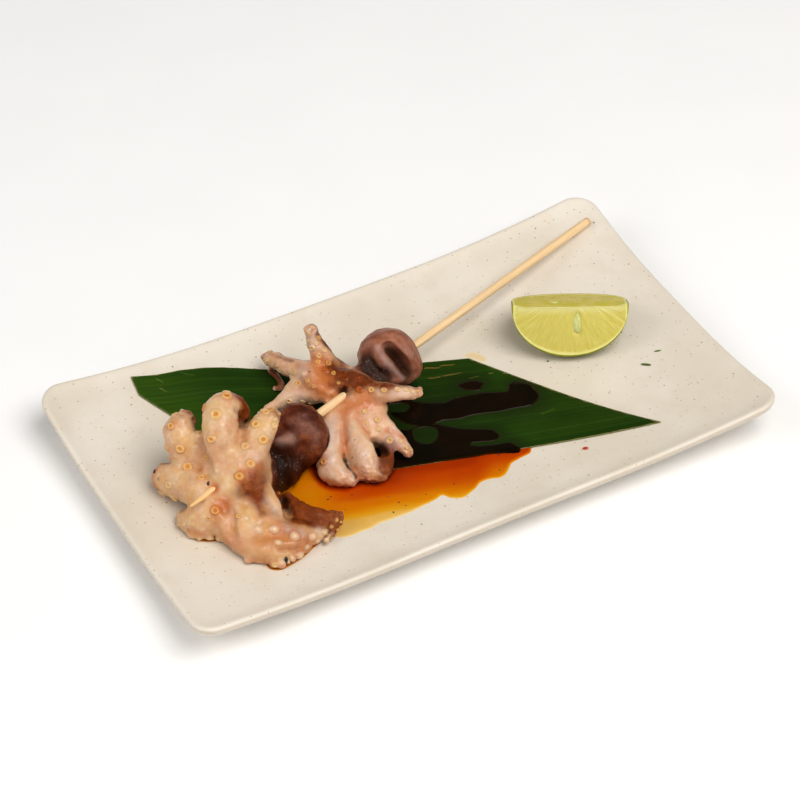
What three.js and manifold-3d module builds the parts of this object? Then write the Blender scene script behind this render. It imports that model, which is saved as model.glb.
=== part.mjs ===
// Two cooked baby octopuses on a bamboo skewer, served on a long stoneware
// plate with a cut piece of banana leaf and a quarter of lime.
// Millimetres, +Z up. X runs along the plate's long side, Y across it. The
// origin is the middle of the plate's foot, on the table.
import * as THREE from "three";
import { mergeVertices } from "three/addons/utils/BufferGeometryUtils.js";
import Module from "manifold-3d";

const wasm = await Module();
wasm.setup();

// ---------------------------------------------------------------- sizes
const GAP = 0.35; // clearance between neighbouring pieces

const PLATE = {
  halfLength: 135,
  halfWidth: 79,
  cornerRadius: 12,
  tightCorner: 9, // the near left corner is turned more sharply than the rest
  bowLong: -2.8, // the long edges bend in by this much at their middle
  bowShort: -0.4,
  wellZ: 7, // top surface at the middle of the plate
  riseSide: 7.6, // how much higher the long sides are than the middle
  riseEnd: 6.8, // how much higher the short ends are than the middle
  flatSide: 0.19, // share of the half width that stays flat
  flatEnd: 0.33, // share of the half length that stays flat
  lipRise: 1.6,
  lipWidth: 10,
  thickness: 5,
  footShare: 0.6, // foot outline as a share of the rim outline
};

const SKEWER = {
  tip: [-110.1, -19.7, 27],
  dir: [0.94486, 0.3258, -0.03302],
  length: 250,
  radius: 1.8,
  point: 15, // length of the tapered point
};

const LEAF = {
  thickness: 0.6,
  // plan corners, counter-clockwise from the near left one
  nearLeft: [-57.9, -11.7],
  nearRight: [87.5, -57.6],
  farRight: [40.5, 19.6],
  farLeft: [-94, 70.7],
  clipLeft: [-95, 61], // the far left corner is clipped along this point
  clipAt: 0.88,
};

const LIME = {
  middle: [82.2, 6.6],
  axis: [0.885, -0.466], // stem to tip, in plan
  halfLength: 24.8,
  radius: 24,
  frontSlope: 60, // degrees below level of the cut face on the near side
  backSlope: 30, // and of the one on the far side
};

// An octopus is described in its own frame: x to the far side of the skewer,
// y up and z back along the skewer, from a point `at` along it. Each arm is a
// row of stations [x, y, z, radius] from the crown to its end.
const FRONT = {
  at: 17,
  crown: { c: [-1, -2, 10], r: [15, 13.5, 12.5] },
  web: { c: [9, 0, 7], r: [15, 14, 8.5] },
  head: { c: [0, -4.2, 45.9], r: [12.5, 14.5, 11.6] },
  neck: [[-2, -2, 12, 10], [-4, -9, 26, 9.2], [-2, -9, 38, 9.5], [0, -6, 44, 9.5]],
  arms: [
    [[13, -12, 6.5, 6.2], [19.4, -3, 4, 6.5], [24, 4.2, 3.5, 7], [27.4, 9, 5.5, 6], [28.6, 10, 9, 4]],
    [[4, -8, 6, 6.5], [6.6, 6, 7, 6.6], [9.3, 14.8, 10, 6.9], [13, 19.5, 15.5, 6.4], [14, 20, 21.5, 4.8], [12.6, 15.5, 26.5, 2.6]],
    [[0, -7, 9, 6.5], [-2.4, 3.4, 13, 6.7], [-2, 10.7, 18, 6.3], [-1.6, 16.6, 24, 5.4], [-1, 18.4, 29, 3.2]],
    [[5, -4, -3, 6.8], [15.5, -6.6, -4.2, 7.4], [23.7, -9, -4.5, 6.7], [27.4, -9.6, -5.5, 4.4]],
    [[-2, -6, -3, 6.4], [0, -10, -10.5, 6.8], [4, -12.6, -14, 4.6], [7.2, -12.9, -14.5, 2.8]],
    [[-3, -9, -7, 6.2], [-1.5, -14.6, -12.4, 3.8]],
    [[-6, -6, -1, 7.5], [-17, -11.6, -4.7, 7.8], [-25, -14, -6, 5.8], [-31.4, -15.4, -5.2, 3.5]],
    [[-9, -6, 1, 7], [-19.6, -9.4, 1, 7], [-28.2, -11.3, 4.4, 6.1], [-35.2, -12, 10, 4.9], [-38, -12.8, 18, 3.5], [-38, -13, 25.3, 2.2]],
    [[-18, -10, -1, 6.2], [-32.6, -14.2, 0.4, 5], [-37.8, -15.2, 3.4, 3.3]],
    // short lobes of web between the arms
    [[13.6, -7.2, 6, 6], [15.6, 3.3, 6, 4.4], [17.4, 10.3, 7, 2.4]],
    [[3.6, -2.8, 9, 6], [3.5, 7, 13, 4.8], [3.9, 12, 17, 2.6]],
    [[-8, -12, 15, 5], [-23, -7.6, 12.6, 3.2], [-29.8, -8.9, 16.6, 2.8], [-34.8, -10.7, 22.2, 2.5], [-38.4, -11.5, 27.8, 1.6]],
  ],
};
const BACK = {
  at: 92,
  crown: { c: [1, -1, 6], r: [11.5, 9.5, 10] },
  web: { c: [10, -2, 1], r: [14, 6.5, 7.5] },
  head: { c: [0, 2.8, 27.1], r: [13.2, 12.6, 13.2] },
  neck: [[0, 0, 6, 8], [0, 1, 18, 8.5]],
  arms: [
    [[7, 2, -1, 6.2], [15, 1, -3, 5.8], [25, -1.5, -2.2, 4.4], [33.5, -3.5, -2, 3.9], [41, -5, -1.7, 3.4], [44, -6, -1.6, 2.6]],
    [[39, -6.4, 0.5, 2], [42.4, -10, -0.5, 1.7], [38.5, -11.8, -3, 1.6], [34.2, -13.4, -4.8, 1.6]],
    [[10, -3, 5, 6], [14.5, -1.5, 6, 5.4], [17.3, 3.6, 5, 5], [20.9, 7.7, 5, 4.1], [23.8, 12.3, 5, 3.3], [25.4, 16.6, 5, 2.5]],
    [[3, -1, 0, 6], [8.7, -1.5, -4.9, 5.3], [16.6, -4.8, -8.9, 4.2], [21.5, -7.4, -13.8, 3.3], [25.1, -10.6, -19.9, 2.3], [27.2, -12, -24.3, 1.6]],
    [[1.2, 1.2, 4, 5.4], [-9, 3.7, 4.4, 4.9], [-16, 5.8, 6.7, 4], [-22, 7.4, 9.6, 3.1], [-27.2, 8.5, 13, 2.1]],
    [[-4, -2, 0, 5.6], [-13.5, -4, -0.3, 5.4], [-21, -6, -0.8, 4.7], [-27.8, -8.5, -0.4, 3.8], [-33.6, -10.8, -0.2, 2.5]],
    [[-4, -3, -3, 5.2], [-11.6, -5.2, -7.6, 5.4], [-20.3, -7.4, -13, 5.4], [-27, -9.8, -17.5, 4.9], [-30.8, -11.2, -19.6, 3.4]],
    [[-0.7, -3, -5, 5], [-4.7, -6, -14, 4.6], [-10.6, -8.6, -22.4, 4.5], [-16, -11, -27.4, 4.3], [-22, -12.2, -29, 3.6], [-26, -13.2, -27, 2.3]],
    [[-20, -7.6, -7, 3.4], [-28, -9.7, -6.8, 2.5], [-32.6, -11.3, -11.5, 2.3], [-34.5, -12.2, -17, 2.2]],
  ],
};

// ---------------------------------------------------------------- helpers
const clamp01 = (t) => Math.min(1, Math.max(0, t));

// The merged vertices of a closed geometry as a manifold solid.
function solidOf(geometry, matrix = new THREE.Matrix4()) {
  const bare = new THREE.BufferGeometry().setAttribute("position", geometry.getAttribute("position").clone());
  if (geometry.index) bare.setIndex(geometry.index.clone());
  bare.applyMatrix4(matrix);
  const merged = mergeVertices(bare, 1e-4);
  const tris = merged.index.array;
  const kept = [];
  for (let i = 0; i < tris.length; i += 3) {
    const [a, b, c] = [tris[i], tris[i + 1], tris[i + 2]];
    if (a !== b && b !== c && c !== a) kept.push(a, b, c);
  }
  return new wasm.Manifold(
    new wasm.Mesh({ numProp: 3, vertProperties: merged.attributes.position.array, triVerts: new Uint32Array(kept) }),
  );
}

function geometryOf(solid, matrix) {
  const m = solid.getMesh();
  const position = new Float32Array(m.numVert * 3);
  for (let i = 0; i < m.numVert; i++) position.set(m.vertProperties.subarray(i * m.numProp, i * m.numProp + 3), i * 3);
  const g = new THREE.BufferGeometry()
    .setAttribute("position", new THREE.BufferAttribute(position, 3))
    .setIndex(new THREE.BufferAttribute(new Uint32Array(m.triVerts), 1));
  if (matrix) g.applyMatrix4(matrix);
  g.computeVertexNormals();
  return g;
}

// A closed skin through rings of equal length, with a pole at each end.
function skin(rings, firstPole, lastPole) {
  const n = rings[0].length;
  const pts = [...rings.flat(), firstPole, lastPole];
  const first = rings.length * n;
  const index = [];
  for (let j = 0; j < rings.length - 1; j++)
    for (let i = 0; i < n; i++) {
      const a = j * n + i;
      const b = j * n + ((i + 1) % n);
      index.push(a, b, b + n, a, b + n, a + n);
    }
  for (let i = 0; i < n; i++) {
    index.push(first, (i + 1) % n, i);
    index.push(first + 1, (rings.length - 1) * n + i, (rings.length - 1) * n + ((i + 1) % n));
  }
  const g = new THREE.BufferGeometry().setFromPoints(pts);
  g.setIndex(index);
  return g;
}

// ---------------------------------------------------------------- plate
const A = PLATE.halfLength;
const B = PLATE.halfWidth;

// Plan position as shares of the half length and the half width.
function planShares(x, y) {
  const u0 = Math.max(-1, Math.min(1, x / A));
  const v = y / (B + PLATE.bowLong * (1 - u0 * u0));
  const vc = Math.max(-1, Math.min(1, v));
  return [x / (A + PLATE.bowShort * (1 - vc * vc)), v];
}

const cornerAt = (x, y) => (x < 0 && y < 0 ? PLATE.tightCorner : PLATE.cornerRadius);

// Distance from the rim's outline, inwards.
function inset(x, y) {
  const r = cornerAt(x, y);
  const qx = Math.abs(x) - (A - r);
  const qy = Math.abs(y) - (B - r);
  return r - (Math.hypot(Math.max(qx, 0), Math.max(qy, 0)) + Math.min(Math.max(qx, qy), 0));
}

function topOf(u, v) {
  const a = Math.max(0, (Math.min(Math.abs(u), 1.05) - PLATE.flatEnd) / (1 - PLATE.flatEnd));
  const b = Math.max(0, (Math.min(Math.abs(v), 1.05) - PLATE.flatSide) / (1 - PLATE.flatSide));
  const lip = clamp01(1 - inset(u * A, v * B) / PLATE.lipWidth);
  return PLATE.wellZ + PLATE.riseEnd * a * a + PLATE.riseSide * b * b + PLATE.lipRise * lip * lip;
}

const wellZ = (x, y) => topOf(...planShares(x, y));

// Stations of a rounded rectangle, the same number on every ring.
function roundedRectangle(a, b, radiusOf, perLong = 12, perShort = 8, perCorner = 5) {
  const out = [];
  const [r1, r2, r3, r4] = [radiusOf(1, 1), radiusOf(-1, 1), radiusOf(-1, -1), radiusOf(1, -1)];
  const run = (x0, y0, x1, y1, n) => {
    for (let i = 0; i < n; i++) out.push([x0 + ((x1 - x0) * i) / n, y0 + ((y1 - y0) * i) / n]);
  };
  const turn = (cx, cy, r, from) => {
    for (let i = 0; i < perCorner; i++) {
      const t = from + ((Math.PI / 2) * i) / perCorner;
      out.push([cx + r * Math.cos(t), cy + r * Math.sin(t)]);
    }
  };
  run(a, -(b - r4), a, b - r1, perShort);
  turn(a - r1, b - r1, r1, 0);
  run(a - r1, b, -(a - r2), b, perLong);
  turn(-(a - r2), b - r2, r2, Math.PI / 2);
  run(-a, b - r2, -a, -(b - r3), perShort);
  turn(-(a - r3), -(b - r3), r3, Math.PI);
  run(-(a - r3), -b, a - r4, -b, perLong);
  turn(a - r4, -(b - r4), r4, (3 * Math.PI) / 2);
  return out;
}

function plateGeometry() {
  const T = PLATE.thickness;
  const bowed = ([x, y]) => {
    const u = x / A;
    const v = y / B;
    return [x + PLATE.bowShort * u * (1 - v * v), y + PLATE.bowLong * v * (1 - u * u)];
  };
  const ring = (d, share, zOf) => {
    const radiusOf = (x, y) => Math.max(cornerAt(x, y) - d, 5) * share;
    return roundedRectangle((A - d) * share, (B - d) * share, radiusOf).map((p) => {
      const [X, Y] = bowed(p);
      return new THREE.Vector3(X, Y, zOf(p[0] / A, p[1] / B));
    });
  };
  const rings = [];
  // underside, from the flat foot out to the rim
  const foot = PLATE.footShare;
  rings.push(ring(12, foot - 0.015, () => 0));
  rings.push(ring(12, foot, () => 0.5));
  rings.push(ring(12, foot + 0.02, (u, v) => topOf(u, v) - T));
  for (const share of [0.8, 0.93]) rings.push(ring(12, share, (u, v) => topOf(u, v) - T));
  rings.push(ring(7, 1, (u, v) => topOf(u, v) - T));
  // the rounded rim
  const half = T / 2;
  for (const deg of [-90, -45, 0, 45, 90]) {
    const t = (deg * Math.PI) / 180;
    const d = half - half * Math.cos(t);
    rings.push(ring(d, 1, (u, v) => topOf(u, v) - half + half * Math.sin(t)));
  }
  // the upper surface, in to the middle
  for (const d of [5, 8, 12]) rings.push(ring(d, 1, topOf));
  for (const share of [0.88, 0.72, 0.5, 0.25]) rings.push(ring(12, share, topOf));
  return skin(rings, new THREE.Vector3(0, 0, 0), new THREE.Vector3(0, 0, topOf(0, 0)));
}

// ---------------------------------------------------------------- leaf
// Plan point of the leaf: s from its left cut to its right one, t from the
// near edge to the far one.
function leafPoint(s, t) {
  const mix = (p, q, k) => [p[0] + (q[0] - p[0]) * k, p[1] + (q[1] - p[1]) * k];
  const left =
    t < LEAF.clipAt
      ? mix(LEAF.nearLeft, LEAF.clipLeft, t / LEAF.clipAt)
      : mix(LEAF.clipLeft, LEAF.farLeft, (t - LEAF.clipAt) / (1 - LEAF.clipAt));
  return mix(left, mix(LEAF.nearRight, LEAF.farRight, t), s);
}

function leafGeometry() {
  const NS = 18;
  const ts = [0, 0.125, 0.25, 0.375, 0.5, 0.625, 0.75, 0.88, 1];
  const row = (s, lift) => ts.map((t) => {
    const [x, y] = leafPoint(s, t);
    return new THREE.Vector3(x, y, wellZ(x, y) + GAP + lift);
  });
  const rings = [];
  for (let i = 0; i <= NS; i++) rings.push([...row(i / NS, 0), ...row(i / NS, LEAF.thickness).reverse()]);
  const mid = (ring) => {
    const m = ts.length >> 1;
    return ring[m].clone().add(ring[ring.length - 1 - m]).multiplyScalar(0.5);
  };
  return skin(rings, mid(rings[0]), mid(rings[NS]));
}

// Height of whatever lies under the food: the plate, or the leaf on it.
function restZ(x, y) {
  const poly = [LEAF.nearLeft, LEAF.nearRight, LEAF.farRight, LEAF.farLeft, LEAF.clipLeft];
  let inside = Infinity;
  poly.forEach((p, i) => {
    const q = poly[(i + 1) % poly.length];
    const ex = q[0] - p[0];
    const ey = q[1] - p[1];
    inside = Math.min(inside, (ex * (y - p[1]) - ey * (x - p[0])) / Math.hypot(ex, ey));
  });
  return wellZ(x, y) + (GAP + LEAF.thickness) * clamp01((inside + 5) / 4);
}

// ---------------------------------------------------------------- skewer
const tip = new THREE.Vector3(...SKEWER.tip);
const along = new THREE.Vector3(...SKEWER.dir).normalize();
const across = new THREE.Vector3(0, 0, 1).cross(along).normalize();
const above = along.clone().cross(across);

function skewerGeometry() {
  const { radius: r, length: L, point } = SKEWER;
  const profile = [[0, 0], [0.25 * r, 0.3], [0.75 * r, point * 0.6], [r, point], [r, L * 0.35], [r, L * 0.7], [r, L - 0.4], [r - 0.4, L], [0, L]];
  // a lathe turns about Y, so its profile runs along +Y
  return new THREE.LatheGeometry(profile.map(([x, y]) => new THREE.Vector2(x, y)), 16);
}

// ---------------------------------------------------------------- octopus
// A tapering arm, domed at both ends, through stations [x, y, z, radius].
function armGeometry(stations, grow = 0, sides = 9) {
  const curve = new THREE.CatmullRomCurve3(stations.map(([x, y, z]) => new THREE.Vector3(x, y, z)), false, "centripetal");
  const steps = Math.max(4, Math.round((stations.length - 1) * 1.7));
  const frames = curve.computeFrenetFrames(steps, false);
  const radiusAt = (t) => {
    const f = t * (stations.length - 1);
    const i = Math.min(stations.length - 2, Math.floor(f));
    return grow + stations[i][3] + (stations[i + 1][3] - stations[i][3]) * (f - i);
  };
  const ringAt = (c, j, r) =>
    Array.from({ length: sides }, (_, i) => {
      const a = (i / sides) * 2 * Math.PI;
      return c.clone().addScaledVector(frames.normals[j], r * Math.cos(a)).addScaledVector(frames.binormals[j], r * Math.sin(a));
    });
  const start = curve.getPoint(0);
  const end = curve.getPoint(1);
  const r0 = radiusAt(0);
  const r1 = radiusAt(1);
  const back = (share) => start.clone().addScaledVector(frames.tangents[0], -r0 * share);
  const on = (share) => end.clone().addScaledVector(frames.tangents[steps], r1 * share);
  const rings = [ringAt(back(0.7), 0, r0 * 0.7)];
  for (let j = 0; j <= steps; j++) {
    const t = curve.getUtoTmapping(j / steps);
    rings.push(ringAt(curve.getPoint(t), j, radiusAt(t)));
  }
  rings.push(ringAt(on(0.7), steps, r1 * 0.7));
  return skin(rings, back(1), on(1));
}

function ball({ c, r }, grow = 0, cols = 16, rows = 11) {
  const m = new THREE.Matrix4().makeTranslation(...c).multiply(new THREE.Matrix4().makeScale(...r.map((x) => x + grow)));
  return solidOf(new THREE.SphereGeometry(1, cols, rows), m);
}

function placeOf(octopus) {
  const m = new THREE.Matrix4().makeBasis(across, above, along);
  return m.setPosition(tip.clone().addScaledVector(along, octopus.at));
}

// Everything under the food, as one block to cut its resting faces with.
function restBlock() {
  const NX = 34;
  const NY = 28;
  const [x0, x1, y0, y1] = [-125, 45, -75, 65];
  const rings = [];
  for (let i = 0; i <= NX; i++) {
    const x = x0 + ((x1 - x0) * i) / NX;
    const top = [];
    const low = [];
    for (let j = 0; j <= NY; j++) {
      const y = y0 + ((y1 - y0) * j) / NY;
      top.push(new THREE.Vector3(x, y, restZ(x, y) + GAP));
      low.push(new THREE.Vector3(x, y, -30));
    }
    rings.push([...low, ...top.reverse()]);
  }
  const mid = (x) => new THREE.Vector3(x, (y0 + y1) / 2, -20);
  return solidOf(skin(rings, mid(x0), mid(x1)));
}

function octopusSolid(octopus, grow = 0) {
  let body = ball(octopus.crown, grow).add(ball(octopus.web, grow, 12, 8)).add(ball(octopus.head, grow, 18, 13));
  for (const arm of [octopus.neck, ...octopus.arms]) body = body.add(solidOf(armGeometry(arm, grow)));
  if (grow) return body;
  // the hole that the skewer runs through
  const hole = new THREE.CylinderGeometry(SKEWER.radius + GAP + 0.05, SKEWER.radius + GAP + 0.05, 160, 12);
  body = body.subtract(solidOf(hole, new THREE.Matrix4().makeRotationX(Math.PI / 2)));
  return body;
}

// ---------------------------------------------------------------- lime
function limeSolid() {
  const n = 14;
  const profile = [];
  for (let i = 0; i <= n; i++) {
    const t = -Math.PI / 2 + (Math.PI * i) / n;
    const c = Math.max(0, Math.cos(t));
    profile.push(new THREE.Vector2(i === 0 || i === n ? 0 : LIME.radius * c ** 0.86, LIME.halfLength * Math.sin(t)));
  }
  const whole = solidOf(new THREE.LatheGeometry(profile, 36));
  // the quarter kept, as a triangle in the plane across the lime's axis
  const reach = 60;
  const at = (deg) => [reach * Math.cos((deg * Math.PI) / 180), reach * Math.sin((deg * Math.PI) / 180)];
  const shape = new THREE.Shape();
  const f = at(-LIME.frontSlope);
  const b = at(-180 + LIME.backSlope);
  shape.moveTo(0, 0);
  shape.lineTo(b[0], b[1]);
  shape.lineTo(f[0], f[1]);
  shape.closePath();
  const prism = new THREE.ExtrudeGeometry(shape, { depth: 80, bevelEnabled: false, steps: 1 });
  prism.translate(0, 0, -40);
  // the prism's section lies in X, Y; the lathe turns about Y, so the section
  // is turned into X, Z, with its height along +Z
  const turn = new THREE.Matrix4().makeRotationX(Math.PI / 2);
  return whole.intersect(solidOf(prism, turn));
}

// ---------------------------------------------------------------- assembly
const colour = (r, g, b) => new THREE.Color().setRGB(r, g, b, THREE.SRGBColorSpace);
const looks = {
  glaze: new THREE.MeshStandardMaterial({ color: colour(0.89, 0.86, 0.8), roughness: 0.45, metalness: 0 }),
  leaf: new THREE.MeshStandardMaterial({ color: colour(0.1, 0.26, 0.08), roughness: 0.4, metalness: 0 }),
  bamboo: new THREE.MeshStandardMaterial({ color: colour(0.88, 0.73, 0.49), roughness: 0.6, metalness: 0 }),
  flesh: new THREE.MeshStandardMaterial({ color: colour(0.83, 0.67, 0.55), roughness: 0.35, metalness: 0 }),
  lime: new THREE.MeshStandardMaterial({ color: colour(0.8, 0.83, 0.45), roughness: 0.35, metalness: 0 }),
};

const dish = new THREE.Group();
const add = (name, geometry, material) => {
  const mesh = new THREE.Mesh(geometry, material);
  mesh.name = name;
  dish.add(mesh);
  return mesh;
};

const plateMesh = add("plate", plateGeometry(), looks.glaze);
add("leaf", leafGeometry(), looks.leaf);

const skewerMesh = add("skewer", skewerGeometry(), looks.bamboo);
skewerMesh.position.copy(tip);
skewerMesh.quaternion.setFromUnitVectors(new THREE.Vector3(0, 1, 0), along);

// The back octopus is dented where it presses against the front one.
const rest = restBlock();
const pressed = solidOf(geometryOf(octopusSolid(FRONT, GAP)), placeOf(FRONT));
for (const [name, octopus] of [["octopus_front", FRONT], ["octopus_back", BACK]]) {
  const place = placeOf(octopus);
  let world = solidOf(geometryOf(octopusSolid(octopus)), place).subtract(rest);
  if (octopus === BACK) world = world.subtract(pressed);
  // the cuts can leave a crumb beside the body, which is dropped
  world = world.decompose().reduce((most, b) => (b.volume() > most.volume() ? b : most));
  const mesh = add(name, geometryOf(world, place.clone().invert()), looks.flesh);
  mesh.position.setFromMatrixPosition(place);
  mesh.quaternion.setFromRotationMatrix(place);
}

const limeMesh = add("lime_wedge", geometryOf(limeSolid()), looks.lime);
{
  // local Y along the lime, local X level and towards the near side, Z up
  const axis = new THREE.Vector3(LIME.axis[0], LIME.axis[1], 0).normalize();
  const near = new THREE.Vector3(axis.y, -axis.x, 0);
  const up = near.clone().cross(axis);
  limeMesh.quaternion.setFromRotationMatrix(new THREE.Matrix4().makeBasis(near, axis, up));
  const [x, y] = LIME.middle;
  limeMesh.position.set(x, y, wellZ(x, y) + LIME.radius + GAP);
}

export default dish;
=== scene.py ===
import math

import bpy
import numpy as np
from mathutils import Matrix, Vector
from mathutils.bvhtree import BVHTree


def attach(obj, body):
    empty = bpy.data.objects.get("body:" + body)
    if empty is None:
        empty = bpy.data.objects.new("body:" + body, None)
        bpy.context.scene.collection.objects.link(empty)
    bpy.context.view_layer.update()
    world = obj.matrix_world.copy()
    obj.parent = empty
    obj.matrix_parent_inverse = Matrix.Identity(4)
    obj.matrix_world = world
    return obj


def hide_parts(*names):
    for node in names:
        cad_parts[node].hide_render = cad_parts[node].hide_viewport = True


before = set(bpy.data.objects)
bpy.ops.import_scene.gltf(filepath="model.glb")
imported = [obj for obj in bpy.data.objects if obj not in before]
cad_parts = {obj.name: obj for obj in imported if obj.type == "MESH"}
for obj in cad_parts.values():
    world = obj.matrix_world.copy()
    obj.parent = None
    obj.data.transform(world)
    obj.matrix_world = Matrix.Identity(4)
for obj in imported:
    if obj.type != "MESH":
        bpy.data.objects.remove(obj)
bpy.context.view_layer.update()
MM = 0.001

# ------------------------------------------------------------------ camera
# Everything below works in millimetres in the row frame, and a mesh is
# scaled to metres when it is made.
FOCAL = 2855.0
EYE = np.array([-424.12, -751.74, 829.69])
AHEAD = np.array([0.35529, 0.63598, -0.68506])
AHEAD /= np.linalg.norm(AHEAD)
RIGHT = np.cross(AHEAD, [0.0, 0.0, 1.0])
RIGHT /= np.linalg.norm(RIGHT)
UP = np.cross(RIGHT, AHEAD)


def ray(u, v):
    d = AHEAD + RIGHT * ((u - 400) / FOCAL) + UP * ((400 - v) / FOCAL)
    return d / np.linalg.norm(d)


def add_camera():
    data = bpy.data.cameras.new("camera")
    data.sensor_fit = "HORIZONTAL"
    data.sensor_width = 36.0
    data.lens = FOCAL * 36.0 / 800.0
    data.clip_start, data.clip_end = 0.05, 20.0
    data.dof.use_dof = False
    cam = bpy.data.objects.new("camera", data)
    m = Matrix.Identity(4)
    for i in range(3):
        m[i][0], m[i][1], m[i][2], m[i][3] = RIGHT[i], UP[i], -AHEAD[i], EYE[i] * MM
    cam.matrix_world = m
    bpy.context.scene.collection.objects.link(cam)
    bpy.context.scene.camera = cam


add_camera()

# ------------------------------------------------------------------ numbers
def fract_hash(i, j, k, seed):
    """Even random numbers from -1 to 1 on a whole-numbered lattice."""
    h = (i.astype(np.int64) * 73856093) ^ (j.astype(np.int64) * 19349663) ^ (k.astype(np.int64) * 83492791) ^ (seed * 2654435761)
    h = h & 0xFFFFFFFF
    h = ((h ^ (h >> 16)) * 0x45D9F3B) & 0xFFFFFFFF
    h = ((h ^ (h >> 16)) * 0x45D9F3B) & 0xFFFFFFFF
    h = h ^ (h >> 16)
    return h.astype(np.float64) / 0xFFFFFFFF * 2 - 1


def noise(P, size, seed=0):
    """Smooth value noise, from -1 to 1, with bumps about `size` mm across."""
    q = np.asarray(P, float) / size + 91.7
    i = np.floor(q)
    f = q - i
    f = f * f * (3 - 2 * f)
    i = i.astype(np.int64)
    out = 0.0
    for a in (0, 1):
        wa = f[..., 0] if a else 1 - f[..., 0]
        for b in (0, 1):
            wb = f[..., 1] if b else 1 - f[..., 1]
            for c in (0, 1):
                wc = f[..., 2] if c else 1 - f[..., 2]
                out = out + wa * wb * wc * fract_hash(i[..., 0] + a, i[..., 1] + b, i[..., 2] + c, seed)
    return out


def smooth01(t):
    t = np.clip(t, 0, 1)
    return t * t * (3 - 2 * t)


def spline(points, n=6, closed=False):
    """Catmull-Rom through the points, n steps a span."""
    p = np.array(points, float)
    if closed:
        ext = np.vstack([p[-1], p, p[0], p[1]])
        spans = len(p)
    else:
        ext = np.vstack([2 * p[0] - p[1], p, 2 * p[-1] - p[-2]])
        spans = len(p) - 1
    out = []
    for s in range(spans):
        p0, p1, p2, p3 = ext[s : s + 4]
        for t in np.linspace(0, 1, n, endpoint=False):
            out.append(0.5 * (2 * p1 + (p2 - p0) * t + (2 * p0 - 5 * p1 + 4 * p2 - p3) * t * t + (3 * p1 - p0 - 3 * p2 + p3) * t**3))
    if not closed:
        out.append(p[-1])
    return np.array(out)


# ------------------------------------------------------------------ meshes
def vertex_normals(V, F):
    """F: quads or triangles, as an (n, 3 or 4) array."""
    a, b, c = V[F[:, 0]], V[F[:, 1]], V[F[:, 2]]
    n = np.cross(b - a, c - a) if F.shape[1] == 3 else np.cross(V[F[:, 2]] - V[F[:, 0]], V[F[:, 3]] - V[F[:, 1]])
    out = np.zeros_like(V)
    for k in range(F.shape[1]):
        for ax in range(3):
            out[:, ax] += np.bincount(F[:, k], n[:, ax], minlength=len(V))
    return out / np.maximum(np.linalg.norm(out, axis=1, keepdims=True), 1e-12)


def piece(name, V, faces, material, attrs=None, flat=False, ride=True):
    """One mesh from millimetre vertices. faces is a list of (n, k) arrays."""
    if isinstance(faces, np.ndarray):
        faces = [faces]
    mesh = bpy.data.meshes.new(name)
    nv, nf = len(V), sum(len(f) for f in faces)
    nl = sum(f.size for f in faces)
    mesh.vertices.add(nv)
    mesh.vertices.foreach_set("co", (np.asarray(V, np.float32) * MM).ravel())
    mesh.loops.add(nl)
    mesh.loops.foreach_set("vertex_index", np.concatenate([f.ravel() for f in faces]).astype(np.int32))
    mesh.polygons.add(nf)
    totals = np.concatenate([np.full(len(f), f.shape[1]) for f in faces]).astype(np.int32)
    mesh.polygons.foreach_set("loop_start", np.concatenate([[0], np.cumsum(totals)[:-1]]).astype(np.int32))
    mesh.polygons.foreach_set("use_smooth", np.full(nf, not flat))
    mesh.update(calc_edges=True)
    mesh.validate()
    for key, values in (attrs or {}).items():
        values = np.asarray(values, np.float32)
        kind = "FLOAT" if values.ndim == 1 else "FLOAT_VECTOR"
        layer = mesh.attributes.new(key, kind, "POINT")
        layer.data.foreach_set("value" if values.ndim == 1 else "vector", values.ravel())
    mesh.materials.append(material)
    o = bpy.data.objects.new(name, mesh)
    bpy.context.scene.collection.objects.link(o)
    if ride:
        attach(o, "root")
    return o


def weld(V, F, attrs, tol=1e-4):
    """Joins vertices at the same place. Quads that lose a corner become
    triangles. Returns V, quads, triangles, attrs."""
    key = np.round(V / tol).astype(np.int64)
    _, first, inv = np.unique(key, axis=0, return_index=True, return_inverse=True)
    F = inv.reshape(-1)[F]
    same = F == np.roll(F, -1, 1)
    n = same.sum(1)
    tris = F[n == 1][~same[n == 1]].reshape(-1, 3)
    return V[first], F[n == 0], tris, {k: v[first] for k, v in attrs.items()}


def grid_faces(nu, nv, wrap_u=False, wrap_v=False, offset=0):
    """Quads of an nu by nv grid of vertices, numbered u * nv + v."""
    iu = np.arange(nu if wrap_u else nu - 1)
    iv = np.arange(nv if wrap_v else nv - 1)
    I, J = np.meshgrid(iu, iv, indexing="ij")
    I2, J2 = (I + 1) % nu, (J + 1) % nv
    return np.stack([I * nv + J, I2 * nv + J, I2 * nv + J2, I * nv + J2], -1).reshape(-1, 4) + offset


# ------------------------------------------------------------------ shaders
def lin(r, g, b, a=1.0):
    f = lambda c: c / 12.92 if c <= 0.04045 else ((c + 0.055) / 1.055) ** 2.4
    return (f(r / 255), f(g / 255), f(b / 255), a)


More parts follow.
